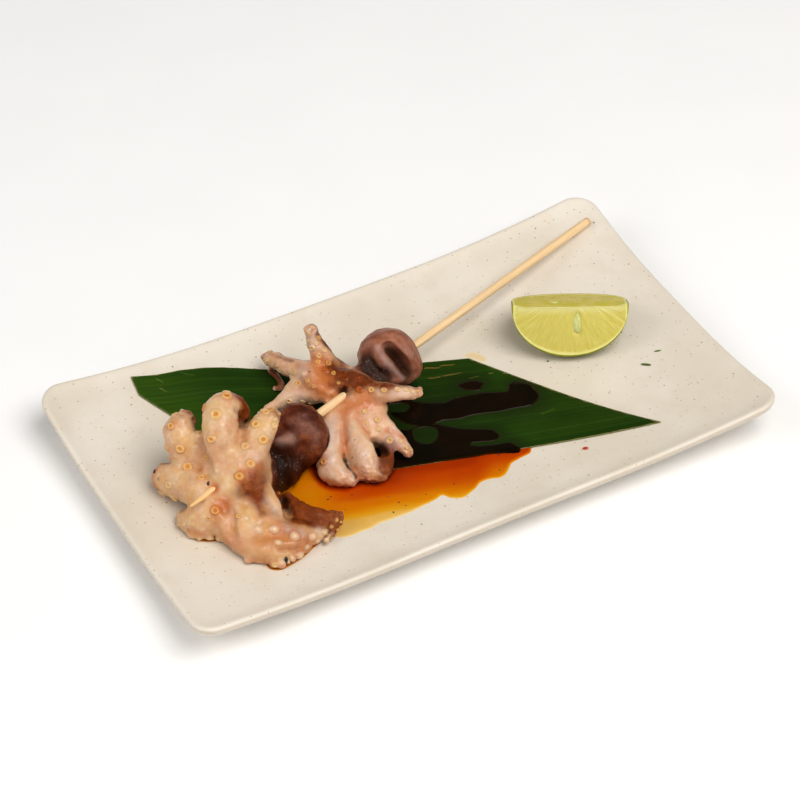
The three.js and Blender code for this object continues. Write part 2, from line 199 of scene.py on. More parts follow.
class Nodes:
    """A small way to write a node tree."""

    def __init__(self, name):
        self.mat = bpy.data.materials.new(name)
        self.mat.use_nodes = True
        self.nt = self.mat.node_tree
        self.nt.nodes.clear()
        self.out = self.nt.nodes.new("ShaderNodeOutputMaterial")
        self.bsdf = self.nt.nodes.new("ShaderNodeBsdfPrincipled")
        self.nt.links.new(self.bsdf.outputs[0], self.out.inputs["Surface"])
        self.where = self.nt.nodes.new("ShaderNodeTexCoord").outputs["Object"]

    def put(self, socket, value):
        if isinstance(value, bpy.types.NodeSocket):
            self.nt.links.new(value, socket)
        elif value is not None:
            socket.default_value = value

    def set(self, **values):
        for k, v in values.items():
            self.put(self.bsdf.inputs[k.replace("_", " ")], v)
        return self

    def attr(self, name, out="Fac"):
        n = self.nt.nodes.new("ShaderNodeAttribute")
        n.attribute_name = name
        return n.outputs[out]

    def math(self, op, a, b=None, c=None, clamp=False):
        n = self.nt.nodes.new("ShaderNodeMath")
        n.operation, n.use_clamp = op, clamp
        for s, v in zip(n.inputs, (a, b, c)):
            self.put(s, v)
        return n.outputs[0]

    def vec(self, op, a, b=None, out=0):
        n = self.nt.nodes.new("ShaderNodeVectorMath")
        n.operation = op
        self.put(n.inputs[0], a)
        if b is not None:
            self.put(n.inputs[1], b)
        return n.outputs[out]

    def noise(self, size, detail=3.0, rough=0.55, vector=None, distort=0.0, out=0):
        """size is the bumps' width in mm."""
        n = self.nt.nodes.new("ShaderNodeTexNoise")
        self.put(n.inputs["Vector"], vector if vector is not None else self.where)
        n.inputs["Scale"].default_value = 1000.0 / size if vector is None else 1.0 / size
        n.inputs["Detail"].default_value = detail
        n.inputs["Roughness"].default_value = rough
        n.inputs["Distortion"].default_value = distort
        return n.outputs[out]

    def cells(self, size, vector=None, out="Distance", feature="F1", random=1.0):
        n = self.nt.nodes.new("ShaderNodeTexVoronoi")
        n.feature = feature
        self.put(n.inputs["Vector"], vector if vector is not None else self.where)
        n.inputs["Scale"].default_value = 1000.0 / size if vector is None else 1.0 / size
        n.inputs["Randomness"].default_value = random
        return n.outputs[out], n

    def ramp(self, fac, stops, mode="LINEAR"):
        n = self.nt.nodes.new("ShaderNodeValToRGB")
        n.color_ramp.interpolation = mode
        while len(n.color_ramp.elements) < len(stops):
            n.color_ramp.elements.new(0.5)
        for e, (p, c) in zip(n.color_ramp.elements, stops):
            e.position, e.color = p, c
        self.put(n.inputs[0], fac)
        return n.outputs[0]

    def step(self, value, lo, hi, to_lo=0.0, to_hi=1.0):
        n = self.nt.nodes.new("ShaderNodeMapRange")
        n.interpolation_type = "SMOOTHSTEP"
        for k, v in zip(("Value", "From Min", "From Max", "To Min", "To Max"), (value, lo, hi, to_lo, to_hi)):
            self.put(n.inputs[k], v)
        return n.outputs[0]

    def mix(self, fac, a, b, mode="MIX"):
        n = self.nt.nodes.new("ShaderNodeMix")
        n.data_type, n.blend_type = "RGBA", mode
        self.put(n.inputs["Factor"], fac)
        # sockets 6, 7 and output 2 are the colour ones
        self.put(n.inputs[6], a)
        self.put(n.inputs[7], b)
        return n.outputs[2]

    def bump(self, height, depth_mm, strength=1.0, normal=None):
        n = self.nt.nodes.new("ShaderNodeBump")
        n.inputs["Strength"].default_value = strength
        n.inputs["Distance"].default_value = depth_mm * MM
        self.put(n.inputs["Height"], height)
        if normal is not None:
            self.put(n.inputs["Normal"], normal)
        return n.outputs[0]


# ------------------------------------------------------------------ plate form
A, B = 135.0, 79.0
BOW_LONG, BOW_SHORT = -2.8, -0.4
WELL, RISE_SIDE, RISE_END, FLAT_SIDE, FLAT_END = 7.0, 7.6, 6.8, 0.19, 0.33
LIP, LIP_WIDTH, THICK, FOOT = 1.6, 10.0, 5.0, 0.6
CORNER, TIGHT = 12.0, 9.0


def inset(x, y):
    r = np.where((x < 0) & (y < 0), TIGHT, CORNER)
    qx, qy = np.abs(x) - (A - r), np.abs(y) - (B - r)
    return r - (np.hypot(np.maximum(qx, 0), np.maximum(qy, 0)) + np.minimum(np.maximum(qx, qy), 0))


def top_of(u, v):
    a = np.maximum(0, (np.minimum(np.abs(u), 1.05) - FLAT_END) / (1 - FLAT_END))
    b = np.maximum(0, (np.minimum(np.abs(v), 1.05) - FLAT_SIDE) / (1 - FLAT_SIDE))
    lip = np.clip(1 - inset(u * A, v * B) / LIP_WIDTH, 0, 1)
    return WELL + RISE_END * a * a + RISE_SIDE * b * b + LIP * lip * lip


def well(x, y):
    """Height of the plate's upper surface."""
    x, y = np.asarray(x, float), np.asarray(y, float)
    u0 = np.clip(x / A, -1, 1)
    v = y / (B + BOW_LONG * (1 - u0 * u0))
    vc = np.clip(v, -1, 1)
    return top_of(x / (A + BOW_SHORT * (1 - vc * vc)), v)


def build_plate(material):
    per_long, per_short, per_corner = 56, 34, 14

    def outline(a, b, radius_of):
        r1, r2, r3, r4 = radius_of(1, 1), radius_of(-1, 1), radius_of(-1, -1), radius_of(1, -1)
        out = []

        def run(x0, y0, x1, y1, n):
            t = np.arange(n)[:, None] / n
            out.append(np.array([x0, y0]) + (np.array([x1, y1]) - [x0, y0]) * t)

        def turn(cx, cy, r, start):
            t = start + np.pi / 2 * np.arange(per_corner) / per_corner
            out.append(np.stack([cx + r * np.cos(t), cy + r * np.sin(t)], 1))

        run(a, -(b - r4), a, b - r1, per_short)
        turn(a - r1, b - r1, r1, 0)
        run(a - r1, b, -(a - r2), b, per_long)
        turn(-(a - r2), b - r2, r2, np.pi / 2)
        run(-a, b - r2, -a, -(b - r3), per_short)
        turn(-(a - r3), -(b - r3), r3, np.pi)
        run(-(a - r3), -b, a - r4, -b, per_long)
        turn(a - r4, -(b - r4), r4, 3 * np.pi / 2)
        return np.concatenate(out)

    def ring(d, share, z_of):
        radius = lambda x, y: max((TIGHT if x < 0 and y < 0 else CORNER) - d, 5.0) * share
        p = outline((A - d) * share, (B - d) * share, radius)
        u, v = p[:, 0] / A, p[:, 1] / B
        X = p[:, 0] + BOW_SHORT * u * (1 - v * v)
        Y = p[:, 1] + BOW_LONG * v * (1 - u * u)
        return np.stack([X, Y, z_of(u, v) + 0 * X], 1)

    under = lambda u, v: top_of(u, v) - THICK
    rings = []
    for s in (0.06, 0.25, 0.45, FOOT - 0.03, FOOT - 0.015):
        rings.append(ring(12, s, lambda u, v: 0.0))
    rings.append(ring(12, FOOT - 0.006, lambda u, v: 0.12))
    rings.append(ring(12, FOOT, lambda u, v: 0.5))
    rings.append(ring(12, FOOT + 0.012, lambda u, v: 0.5 + 0.6 * (under(u, v) - 0.5)))
    for s in (FOOT + 0.02, FOOT + 0.05, 0.7, 0.76, 0.82, 0.88, 0.93, 0.97, 1.0):
        rings.append(ring(12, s, under))
    for d in (10, 8.5, 7, 5.6, 4.4, 3.4):
        rings.append(ring(d, 1, under))
    half = THICK / 2
    for t in np.radians(np.linspace(-90, 90, 19)):
        rings.append(ring(half - half * math.cos(t), 1, lambda u, v, t=t: top_of(u, v) - half + half * math.sin(t)))
    for d in (3.3, 4.2, 5.2, 6.2, 7.2, 8.2, 9.2, 10.2, 11.1):
        rings.append(ring(d, 1, top_of))
    for s in np.concatenate([np.linspace(1, 0.9, 8), np.linspace(0.885, 0.06, 30)]):
        rings.append(ring(12, s, top_of))
    V = np.array(rings)
    nr, ns = V.shape[:2]
    V = V.reshape(-1, 3)
    quads = grid_faces(nr, ns, wrap_v=True)[:, ::-1]
    V = np.vstack([V, [0, 0, 0], [0, 0, float(top_of(np.array(0.0), np.array(0.0)))]])
    i = np.arange(ns)
    low = np.stack([np.full(ns, nr * ns), (i + 1) % ns, i], 1)
    last = (nr - 1) * ns
    high = np.stack([np.full(ns, nr * ns + 1), last + i, last + (i + 1) % ns], 1)
    quads = quads[:, ::-1]
    n = vertex_normals(V, quads)
    foot = np.clip((0.35 - V[:, 2]) / 0.3, 0, 1)
    # steep faces of the rim; the glaze's colour darkens them as painted shade
    side = smooth01((0.75 - np.abs(n[:, 2])) / 0.6) * (V[:, 2] > 2.5)
    return piece("plate_glazed", V, [quads, np.concatenate([low, high])], material, {"foot": foot, "side": side})


# ------------------------------------------------------------------ leaf form
GAP = 0.35
LEAF_T = 0.6
LEAF = dict(near_left=(-57.9, -11.7), near_right=(87.5, -57.6), far_right=(40.5, 19.6), far_left=(-94, 70.7), clip=(-95, 61), at=0.88)
LEAF_POLY = [LEAF["near_left"], LEAF["near_right"], LEAF["far_right"], LEAF["far_left"], LEAF["clip"]]


def leaf_plan(s, t):
    nl, cl, fl = (np.array(LEAF[k], float) for k in ("near_left", "clip", "far_left"))
    nr, fr = np.array(LEAF["near_right"], float), np.array(LEAF["far_right"], float)
    k = LEAF["at"]
    t_ = t[..., None]
    left = np.where(t_ < k, nl + (cl - nl) * (t_ / k), cl + (fl - cl) * ((t_ - k) / (1 - k)))
    right = nr + (fr - nr) * t_
    # the far edge bows out towards its left end
    bow = np.interp(s, [0, 0.077, 0.145, 0.217, 0.27, 0.323, 0.39, 0.5, 0.62, 1], [0.5, 1.7, 4.0, 5.1, 4.9, 4.1, 2.7, 0.9, 0, 0]) * smooth01((t - 0.5) / 0.5)
    return left + (right - left) * s[..., None] + bow[..., None] * np.array((0.355, 0.935))


def polygon_distance(x, y, poly):
    """Signed distance to a closed polygon, negative inside."""
    poly = np.asarray(poly, float)
    d = np.full(np.shape(x), 1e9)
    inside = np.zeros(np.shape(x), bool)
    for p, q in zip(poly, np.roll(poly, -1, 0)):
        e = q - p
        wx, wy = x - p[0], y - p[1]
        t = np.clip((wx * e[0] + wy * e[1]) / max(e @ e, 1e-9), 0, 1)
        d = np.minimum(d, (wx - e[0] * t) ** 2 + (wy - e[1] * t) ** 2)
        cross = ((p[1] > y) != (q[1] > y)) & (x < (q[0] - p[0]) * (y - p[1]) / (q[1] - p[1] + 1e-12) + p[0])
        inside ^= cross
    return np.where(inside, -1, 1) * np.sqrt(d)


def leaf_cover(x, y):
    """1 on the leaf, 0 off it, with a ramp 4 mm wide just outside."""
    return smooth01((5 - polygon_distance(x, y, LEAF_POLY)) / 4)


def rest_z(x, y):
    """Height of whatever the food lies on."""
    inside = -polygon_distance(x, y, LEAF_POLY)
    return well(x, y) + (GAP + LEAF_T) * np.clip((inside + 5) / 4, 0, 1)


def on_rest(u, v, h=0.0, leaf=True):
    """The point h above the plate (or the leaf on it) that is seen at a pixel."""
    d = ray(u, v)
    z = 10.0
    for _ in range(30):
        p = EYE + d * ((z - EYE[2]) / d[2])
        z = float((rest_z if leaf else well)(np.array(p[0]), np.array(p[1]))) + h
    return p


# the dark sauce's outlines on the leaf, by pixel
DARK_SAUCE = [
    [(392, 396), (403, 398), (414, 401), (426, 402.2), (444, 402.2), (453, 398.5), (461, 396.4), (479, 393.2), (493, 392.3), (506, 391.4), (509, 388.5), (509.5, 384), (518, 381), (529, 382.5), (534.5, 387), (538.8, 394), (537, 400.5),
     (529, 405.8), (514.5, 408.5), (500, 412), (486, 413.3), (471, 415.7), (460.6, 418.8), (444.4, 420.2), (437, 423), (430, 425), (420, 426), (408, 424), (398, 419), (390, 412)],
    [(458, 386), (462.4, 382.4), (471.4, 380.2), (478.6, 381), (483.6, 383.3), (481.3, 387), (479.5, 390.3), (469.6, 390.5), (462.4, 388.7)],
    [(392, 424), (400, 429), (408, 430), (416, 427), (424, 424.6), (432, 423.6), (440, 424.4), (450, 426.6), (460, 428.2), (471, 429), (486, 429.2), (493, 429.8), (498.4, 433.2), (499.8, 436.6), (496.6, 440.2), (490, 441.4), (480, 442),
     (473, 443), (471, 444.6), (478, 445.6), (490, 445), (500, 443.6), (508, 441.8), (514, 442.8), (519.5, 447.5), (517, 452), (500, 452.5), (488, 453.5), (470, 456.5), (450, 459.5), (430, 462.5), (410, 465.5), (390, 469), (370, 472),
     (345, 476), (330, 474), (330, 450), (345, 425), (365, 400), (380, 392)],
    [(352, 396), (372, 385), (396, 384), (408, 388), (416, 396), (406, 404), (380, 410), (356, 408)],
]

VEINS = [(5.2, 0.5), (11.9, 0.9), (22.4, 0.35), (29.8, 0.8), (41.1, 0.5), (47.3, 0.3), (58.6, 0.9), (66.0, 0.4), (77.5, 0.7), (84.9, 0.4)]


# scratches in the leaf's skin: pixels, half width in mm, strength, colour
LEAF_SCRATCHES = [
    ((423, 368.5), (441, 367), 0.35, 0.8, lin(150, 112, 52)), ((438, 366), (456, 364.2), 0.35, 0.7, lin(142, 116, 50)), ((427, 378.6), (442, 377), 0.32, 0.8, lin(150, 112, 62)), ((440, 376.6), (463, 372), 0.35, 0.7, lin(140, 108, 54)),
    ((468, 378), (480, 376), 0.3, 0.5, lin(120, 110, 50)), ((488, 373.4), (494, 373), 0.3, 0.6, lin(150, 140, 80)), ((502, 373.4), (511, 372.2), 0.35, 0.6, lin(140, 120, 50)), ((155, 378), (164, 383), 0.4, 0.3, lin(130, 140, 70)),
    ((158, 388), (168, 392), 0.4, 0.3, lin(130, 140, 70)), ((176, 372), (196, 376), 0.3, 0.25, lin(110, 130, 60)), ((540, 415), (556, 408), 0.4, 0.25, lin(96, 124, 40)), ((575, 396), (600, 400), 0.4, 0.2, lin(96, 124, 40)),
]


def build_leaf(material):
    NS, NT = 110, 230
    s = np.linspace(0, 1, NS)
    t = np.linspace(0, 1, NT)
    S, T = np.meshgrid(s, t, indexing="ij")
    P = leaf_plan(S, T)
    x, y = P[..., 0], P[..., 1]
    base = well(x, y) + GAP
    width = 92.0
    edge = np.minimum(np.minimum(S * 150, (1 - S) * 60), np.minimum(T, 1 - T) * width)
    soft = smooth01(edge / 1.2)
    # parallel veins, a fine one every 1.3 mm and a stout one every 9 mm or so
    w = T * width + 0.5 * noise(np.stack([S * 150, T * 92, 0 * S], -1), 22, 5)
    fine = noise(np.stack([S * 150 / 16, w / 0.8, 0 * S], -1), 1.0, 15) + 0.6 * noise(np.stack([S * 150 / 9, w / 0.42, 0 * S], -1), 1.0, 25)
    stout = 0 * w
    for at, weight in VEINS:
        stout = np.maximum(stout, weight * np.exp(-(((w - at) / 0.4) ** 2)))
    swell = 0.22 * noise(np.stack([x, y, 0 * x], -1), 26, 3) + 0.1 * noise(np.stack([x, y, 0 * x], -1), 9, 8)
    lift = np.maximum(swell + 0.1, 0) * smooth01(edge / 6)
    top = base + LEAF_T + soft * (0.035 * fine + 0.09 * stout - 0.02) - 0.16 * (1 - soft) + lift * 0.9
    low = base + 0.04 * (1 - soft)
    up = np.stack([x, y, top], -1).reshape(-1, 3)
    dn = np.stack([x, y, low], -1).reshape(-1, 3)
    V = np.vstack([up, dn])
    n = NS * NT
    faces = [grid_faces(NS, NT), grid_faces(NS, NT, offset=n)[:, ::-1]]
    idx = np.arange(n).reshape(NS, NT)
    border = np.concatenate([idx[:, 0], idx[-1, 1:], idx[-2::-1, -1], idx[0, -2:0:-1]])
    nxt = np.roll(border, -1)
    side = np.stack([border, border + n, nxt + n, nxt], 1)
    quads = np.concatenate(faces + [side])
    n_ = vertex_normals(V, grid_faces(NS, NT))
    if n_[: NS * NT, 2].mean() < 0:
        quads = quads[:, ::-1]
    edge_all = np.concatenate([edge.ravel(), edge.ravel()])
    coord = np.stack([np.concatenate([S.ravel() * 150] * 2), np.concatenate([w.ravel()] * 2), np.zeros(2 * n)], 1)
    left = np.concatenate([smooth01(1 - S.ravel() * 150 / 42)] * 2)
    rib = np.concatenate([stout.ravel()] * 2)
    film = np.full(len(V), 1e9)
    for outline in DARK_SAUCE:
        film = np.minimum(film, polygon_distance(V[:, 0], V[:, 1], plan(outline)))
    film = film + 2.2 * noise(np.stack([V[:, 0] / 2, V[:, 1], 0 * V[:, 0]], 1), 6, 31)
    film = smooth01(1 - film / 9.0)
    return piece("leaf_cut", V, [quads], material, {"edge": edge_all, "leafco": coord, "leftness": left, "rib": rib, "film": film})


# ------------------------------------------------------------------ skewer
TIP = np.array([-110.1, -19.7, 27.0])
W = np.array([0.94486, 0.3258, -0.03302])
W /= np.linalg.norm(W)
SU = np.cross([0, 0, 1], W)
SU /= np.linalg.norm(SU)
SV = np.cross(W, SU)
SK_L, SK_R = 250.0, 1.9


def build_skewer(material):
    n_side, n_ring = 36, 260
    t = np.concatenate([np.linspace(0, 1, 60) ** 1.3 * 17, np.linspace(17, SK_L - 0.6, n_ring - 66)[1:], SK_L - 0.6 + 0.6 * np.sin(np.linspace(0, np.pi / 2, 7)[1:])])
    ang = np.arange(n_side) / n_side * 2 * np.pi
    T_, G = np.meshgrid(t, ang, indexing="ij")
    r = SK_R * np.clip(0.24 + 0.76 * (T_ / 15.5) ** 0.8, 0, 1)
    end = np.clip((T_ - (SK_L - 0.6)) / 0.6, 0, 1)
    r = r * (1 - 0.35 * (1 - np.sqrt(np.maximum(1 - end**2, 0))))
    q = np.stack([np.cos(G) * 5, np.sin(G) * 5, T_ / 14], -1)
    r = r * (1 - 0.02 + 0.02 * noise(q, 1.2, 4)) - 0.03 * (1 + noise(q * [1, 1, 5], 0.9, 9)) * 0.6
    # the point is shaved on its upper side
    r = r * (1 - 0.25 * smooth01((9 - T_) / 9) * (np.sin(G) > 0.2) * np.sin(G))
    P = TIP + T_[..., None] * W + r[..., None] * (np.cos(G)[..., None] * SU + np.sin(G)[..., None] * SV)
    V = P.reshape(-1, 3)
    nr = len(t)
    quads = grid_faces(nr, n_side, wrap_v=True)
    V = np.vstack([V, TIP - 0.15 * W, TIP + (SK_L - 0.12) * W])
    i = np.arange(n_side)
    a = np.stack([np.full(n_side, nr * n_side), i, (i + 1) % n_side], 1)
    b = np.stack([np.full(n_side, nr * n_side + 1), (nr - 1) * n_side + (i + 1) % n_side, (nr - 1) * n_side + i], 1)
    cen = V.mean(0)
    nrm = vertex_normals(V, quads)
    axis_pt = TIP + ((V - TIP) @ W)[:, None] * W
    if ((V - axis_pt) * nrm).sum(1).mean() < 0:
        quads = quads[:, ::-1]
        a, b = a[:, ::-1], b[:, ::-1]
    a, b = a[:, ::-1], b[:, ::-1]
    co = np.stack([np.cos(G) * 3, np.sin(G) * 3, T_ / 30], -1).reshape(-1, 3)
    co = np.vstack([co, [0, 0, 0], [0, 0, SK_L / 30]])
    al = np.concatenate([T_.ravel(), [0, SK_L]])
    return piece("skewer_stick", V, [quads, np.concatenate([a, b])], material, {"grainco": co, "along": al})


# ------------------------------------------------------------------ octopus
def local(at):
    o = TIP + W * at
    return lambda p: o + p[..., 0:1] * SU + p[..., 1:2] * SV + p[..., 2:3] * W


class Field:
    """A sampled distance field that arms are melted into one by one."""

    def __init__(self, lo, hi, h):
        self.h = h
        self.lo = np.array(lo, float)
        self.n = (np.ceil((np.array(hi) - lo) / h) + 1).astype(int)
        self.d = np.full(self.n, 6.0, np.float32)

    def window(self, lo, hi):
        a = np.clip(np.floor((lo - self.lo) / self.h), 0, self.n - 1).astype(int)
        b = np.clip(np.ceil((hi - self.lo) / self.h) + 1, 1, self.n).astype(int)
        sl = tuple(slice(i, j) for i, j in zip(a, b))
        ax = [(self.lo[i] + self.h * np.arange(a[i], b[i])).astype(np.float32) for i in range(3)]
        return sl, np.meshgrid(*ax, indexing="ij", sparse=True)

    def melt(self, sl, e, k):
        d = self.d[sl]
        h = np.clip(0.5 + 0.5 * (e - d) / k, 0, 1)
        self.d[sl] = e * (1 - h) + d * h - k * h * (1 - h)

    def chain(self, P, r, k, pad=5.0):
        lo, hi = (P - r[:, None]).min(0) - pad, (P + r[:, None]).max(0) + pad
        sl, _ = self.window(lo, hi)
        e = np.full(self.d[sl].shape, 6.0, np.float32)
        off = np.array([s.start for s in sl])
        for i in range(len(P) - 1):
            a, b, ra, rb = P[i], P[i + 1], r[i], r[i + 1]
            s2, (X, Y, Z) = self.window(np.minimum(a - ra, b - rb) - pad, np.maximum(a + ra, b + rb) + pad)
            ab = (b - a).astype(np.float32)
            L2 = max(float(ab @ ab), 1e-6)
            x, y, z = X - np.float32(a[0]), Y - np.float32(a[1]), Z - np.float32(a[2])
            t = np.clip((x * ab[0] + y * ab[1] + z * ab[2]) / L2, 0, 1)
            q = np.sqrt((x - t * ab[0]) ** 2 + (y - t * ab[1]) ** 2 + (z - t * ab[2]) ** 2) - (ra + (rb - ra) * t)
            w = tuple(slice(s.start - o, s.stop - o) for s, o in zip(s2, off))
            e[w] = np.minimum(e[w], q)
        self.melt(sl, e, k)

    def blob(self, c, axes, r, k, pad=5.0):
        R = max(r)
        sl, (X, Y, Z) = self.window(c - R - pad, c + R + pad)
        x, y, z = X - c[0], Y - c[1], Z - c[2]
        m = [(x * a[0] + y * a[1] + z * a[2]) / s for a, s in zip(axes, r)]
        k0 = np.sqrt(m[0] ** 2 + m[1] ** 2 + m[2] ** 2)
        k1 = np.sqrt(sum((mi / s) ** 2 for mi, s in zip(m, r)))
        self.melt(sl, (k0 * (k0 - 1) / np.maximum(k1, 1e-6)).astype(np.float32), k)


def meet(f, u, v):
    """Where a pixel's line first enters a field, and the way out there."""
    d = ray(u, v)
    size = (np.array(f.d.shape) - 1) * f.h
    t = np.arange(-50, 50, 0.3) + (f.lo + size / 2 - EYE) @ d
    P = EYE + t[:, None] * d
    s = np.where(((P > f.lo) & (P < f.lo + size)).all(1), sample(f, P), 9.0)
    k = int(np.argmax(s < 0))
    if s[k] >= 0:
        return None, None
    e = np.eye(3) * 0.7
    n = sample(f, P[k] + e) - sample(f, P[k] - e)
    return P[k], n / max(np.linalg.norm(n), 1e-6)


def score(f, strokes, k=2.0):
    """Cuts hollows (depth below 0) and raises folds (above 0) in a field,
    between the surface points seen at two pixels."""
    for u0, v0, u1, v1, radius, depth in strokes:
        a, na = meet(f, u0, v0)
        b, nb = meet(f, u1, v1)
        if a is None or b is None:
            continue
        lift = radius + depth if depth < 0 else depth - radius
        a, b = a + na * lift, b + nb * lift
        sl, (X, Y, Z) = f.window(np.minimum(a, b) - radius - 5, np.maximum(a, b) + radius + 5)
        ab = b - a
        x, y, z = X - a[0], Y - a[1], Z - a[2]
        t = np.clip((x * ab[0] + y * ab[1] + z * ab[2]) / max(float(ab @ ab), 1e-6), 0, 1)
        e = (np.sqrt((x - t * ab[0]) ** 2 + (y - t * ab[1]) ** 2 + (z - t * ab[2]) ** 2) - radius).astype(np.float32)
        if depth > 0:
            f.melt(sl, e, k)
        else:
            d = f.d[sl]
            m = np.clip(0.5 - 0.5 * (-e - d) / k, 0, 1)
            f.d[sl] = -e * (1 - m) + d * m + k * m * (1 - m)


def surface_nets(d, lo, h):
    inside = d < 0
    c = np.zeros(tuple(np.array(d.shape) - 1), np.int8)
    corners = [(a, b, e) for a in (0, 1) for b in (0, 1) for e in (0, 1)]
    shape = c.shape
    for a, b, e in corners:
        c += inside[a : a + shape[0], b : b + shape[1], e : e + shape[2]]
    idx = np.argwhere((c > 0) & (c < 8))
    acc = np.zeros((len(idx), 3))
    cnt = np.zeros(len(idx))
    for ax in range(3):
        o1, o2 = [i for i in range(3) if i != ax]
        for p in (0, 1):
            for q in (0, 1):
                s = np.zeros(3, int)
                s[o1], s[o2] = p, q
                e = s.copy()
                e[ax] = 1
                da = d[tuple((idx + s).T)]
                db = d[tuple((idx + e).T)]
                hit = (da < 0) != (db < 0)
                t = np.where(hit, da / np.where(da == db, 1, da - db), 0)
                pos = idx[:, :3] * 0.0 + s
                pos[:, ax] += t
                acc[hit] += pos[hit]
                cnt += hit
    V = lo + h * (idx + acc / cnt[:, None])
    vid = np.full(shape, -1, np.int64)
    vid[tuple(idx.T)] = np.arange(len(idx))
    faces = []
    for ax in range(3):
        o1, o2 = [(1, 2), (2, 0), (0, 1)][ax]
        a = [slice(1, -1)] * 3
        a[ax] = slice(0, -1)
        b = list(a)
        b[ax] = slice(1, None)
        # lattice edges along ax that are not on the border
        base = np.argwhere(inside[tuple(a)] != inside[tuple(b)])
        off = np.ones(3, int)
        off[ax] = 0
        base = base + off
        flip = inside[tuple(base.T)]
        q = []
        for p1, p2 in ((1, 1), (0, 1), (0, 0), (1, 0)):
            cell = base.copy()
            cell[:, o1] -= p1
            cell[:, o2] -= p2
            q.append(vid[tuple(cell.T)])
        q = np.stack(q, 1)
        q[~flip] = q[~flip][:, ::-1]
        faces.append(q)
    F = np.concatenate(faces)
    return V, F


def relax(V, F, times, amount=0.5):
    """Evens out a quad mesh by moving each vertex towards its neighbours."""
    e = np.concatenate([F[:, [0, 1]], F[:, [1, 2]], F[:, [2, 3]], F[:, [3, 0]]])
    n = np.bincount(e[:, 0], minlength=len(V)) + np.bincount(e[:, 1], minlength=len(V))
    for _ in range(times):
        s = np.zeros_like(V)
        for ax in range(3):
            s[:, ax] = np.bincount(e[:, 0], V[e[:, 1], ax], minlength=len(V)) + np.bincount(e[:, 1], V[e[:, 0], ax], minlength=len(V))
        V = V + amount * (s / n[:, None] - V)
    return V


def diffuse(F, values, times):
    """Spreads a value over a quad mesh."""
    e = np.concatenate([F[:, [0, 1]], F[:, [1, 2]], F[:, [2, 3]], F[:, [3, 0]]])
    n = np.bincount(e[:, 0], minlength=len(values)) + np.bincount(e[:, 1], minlength=len(values))
    for _ in range(times):
        values = 0.5 * values + 0.5 * (np.bincount(e[:, 0], values[e[:, 1]], minlength=len(values)) + np.bincount(e[:, 1], values[e[:, 0]], minlength=len(values))) / n
    return values


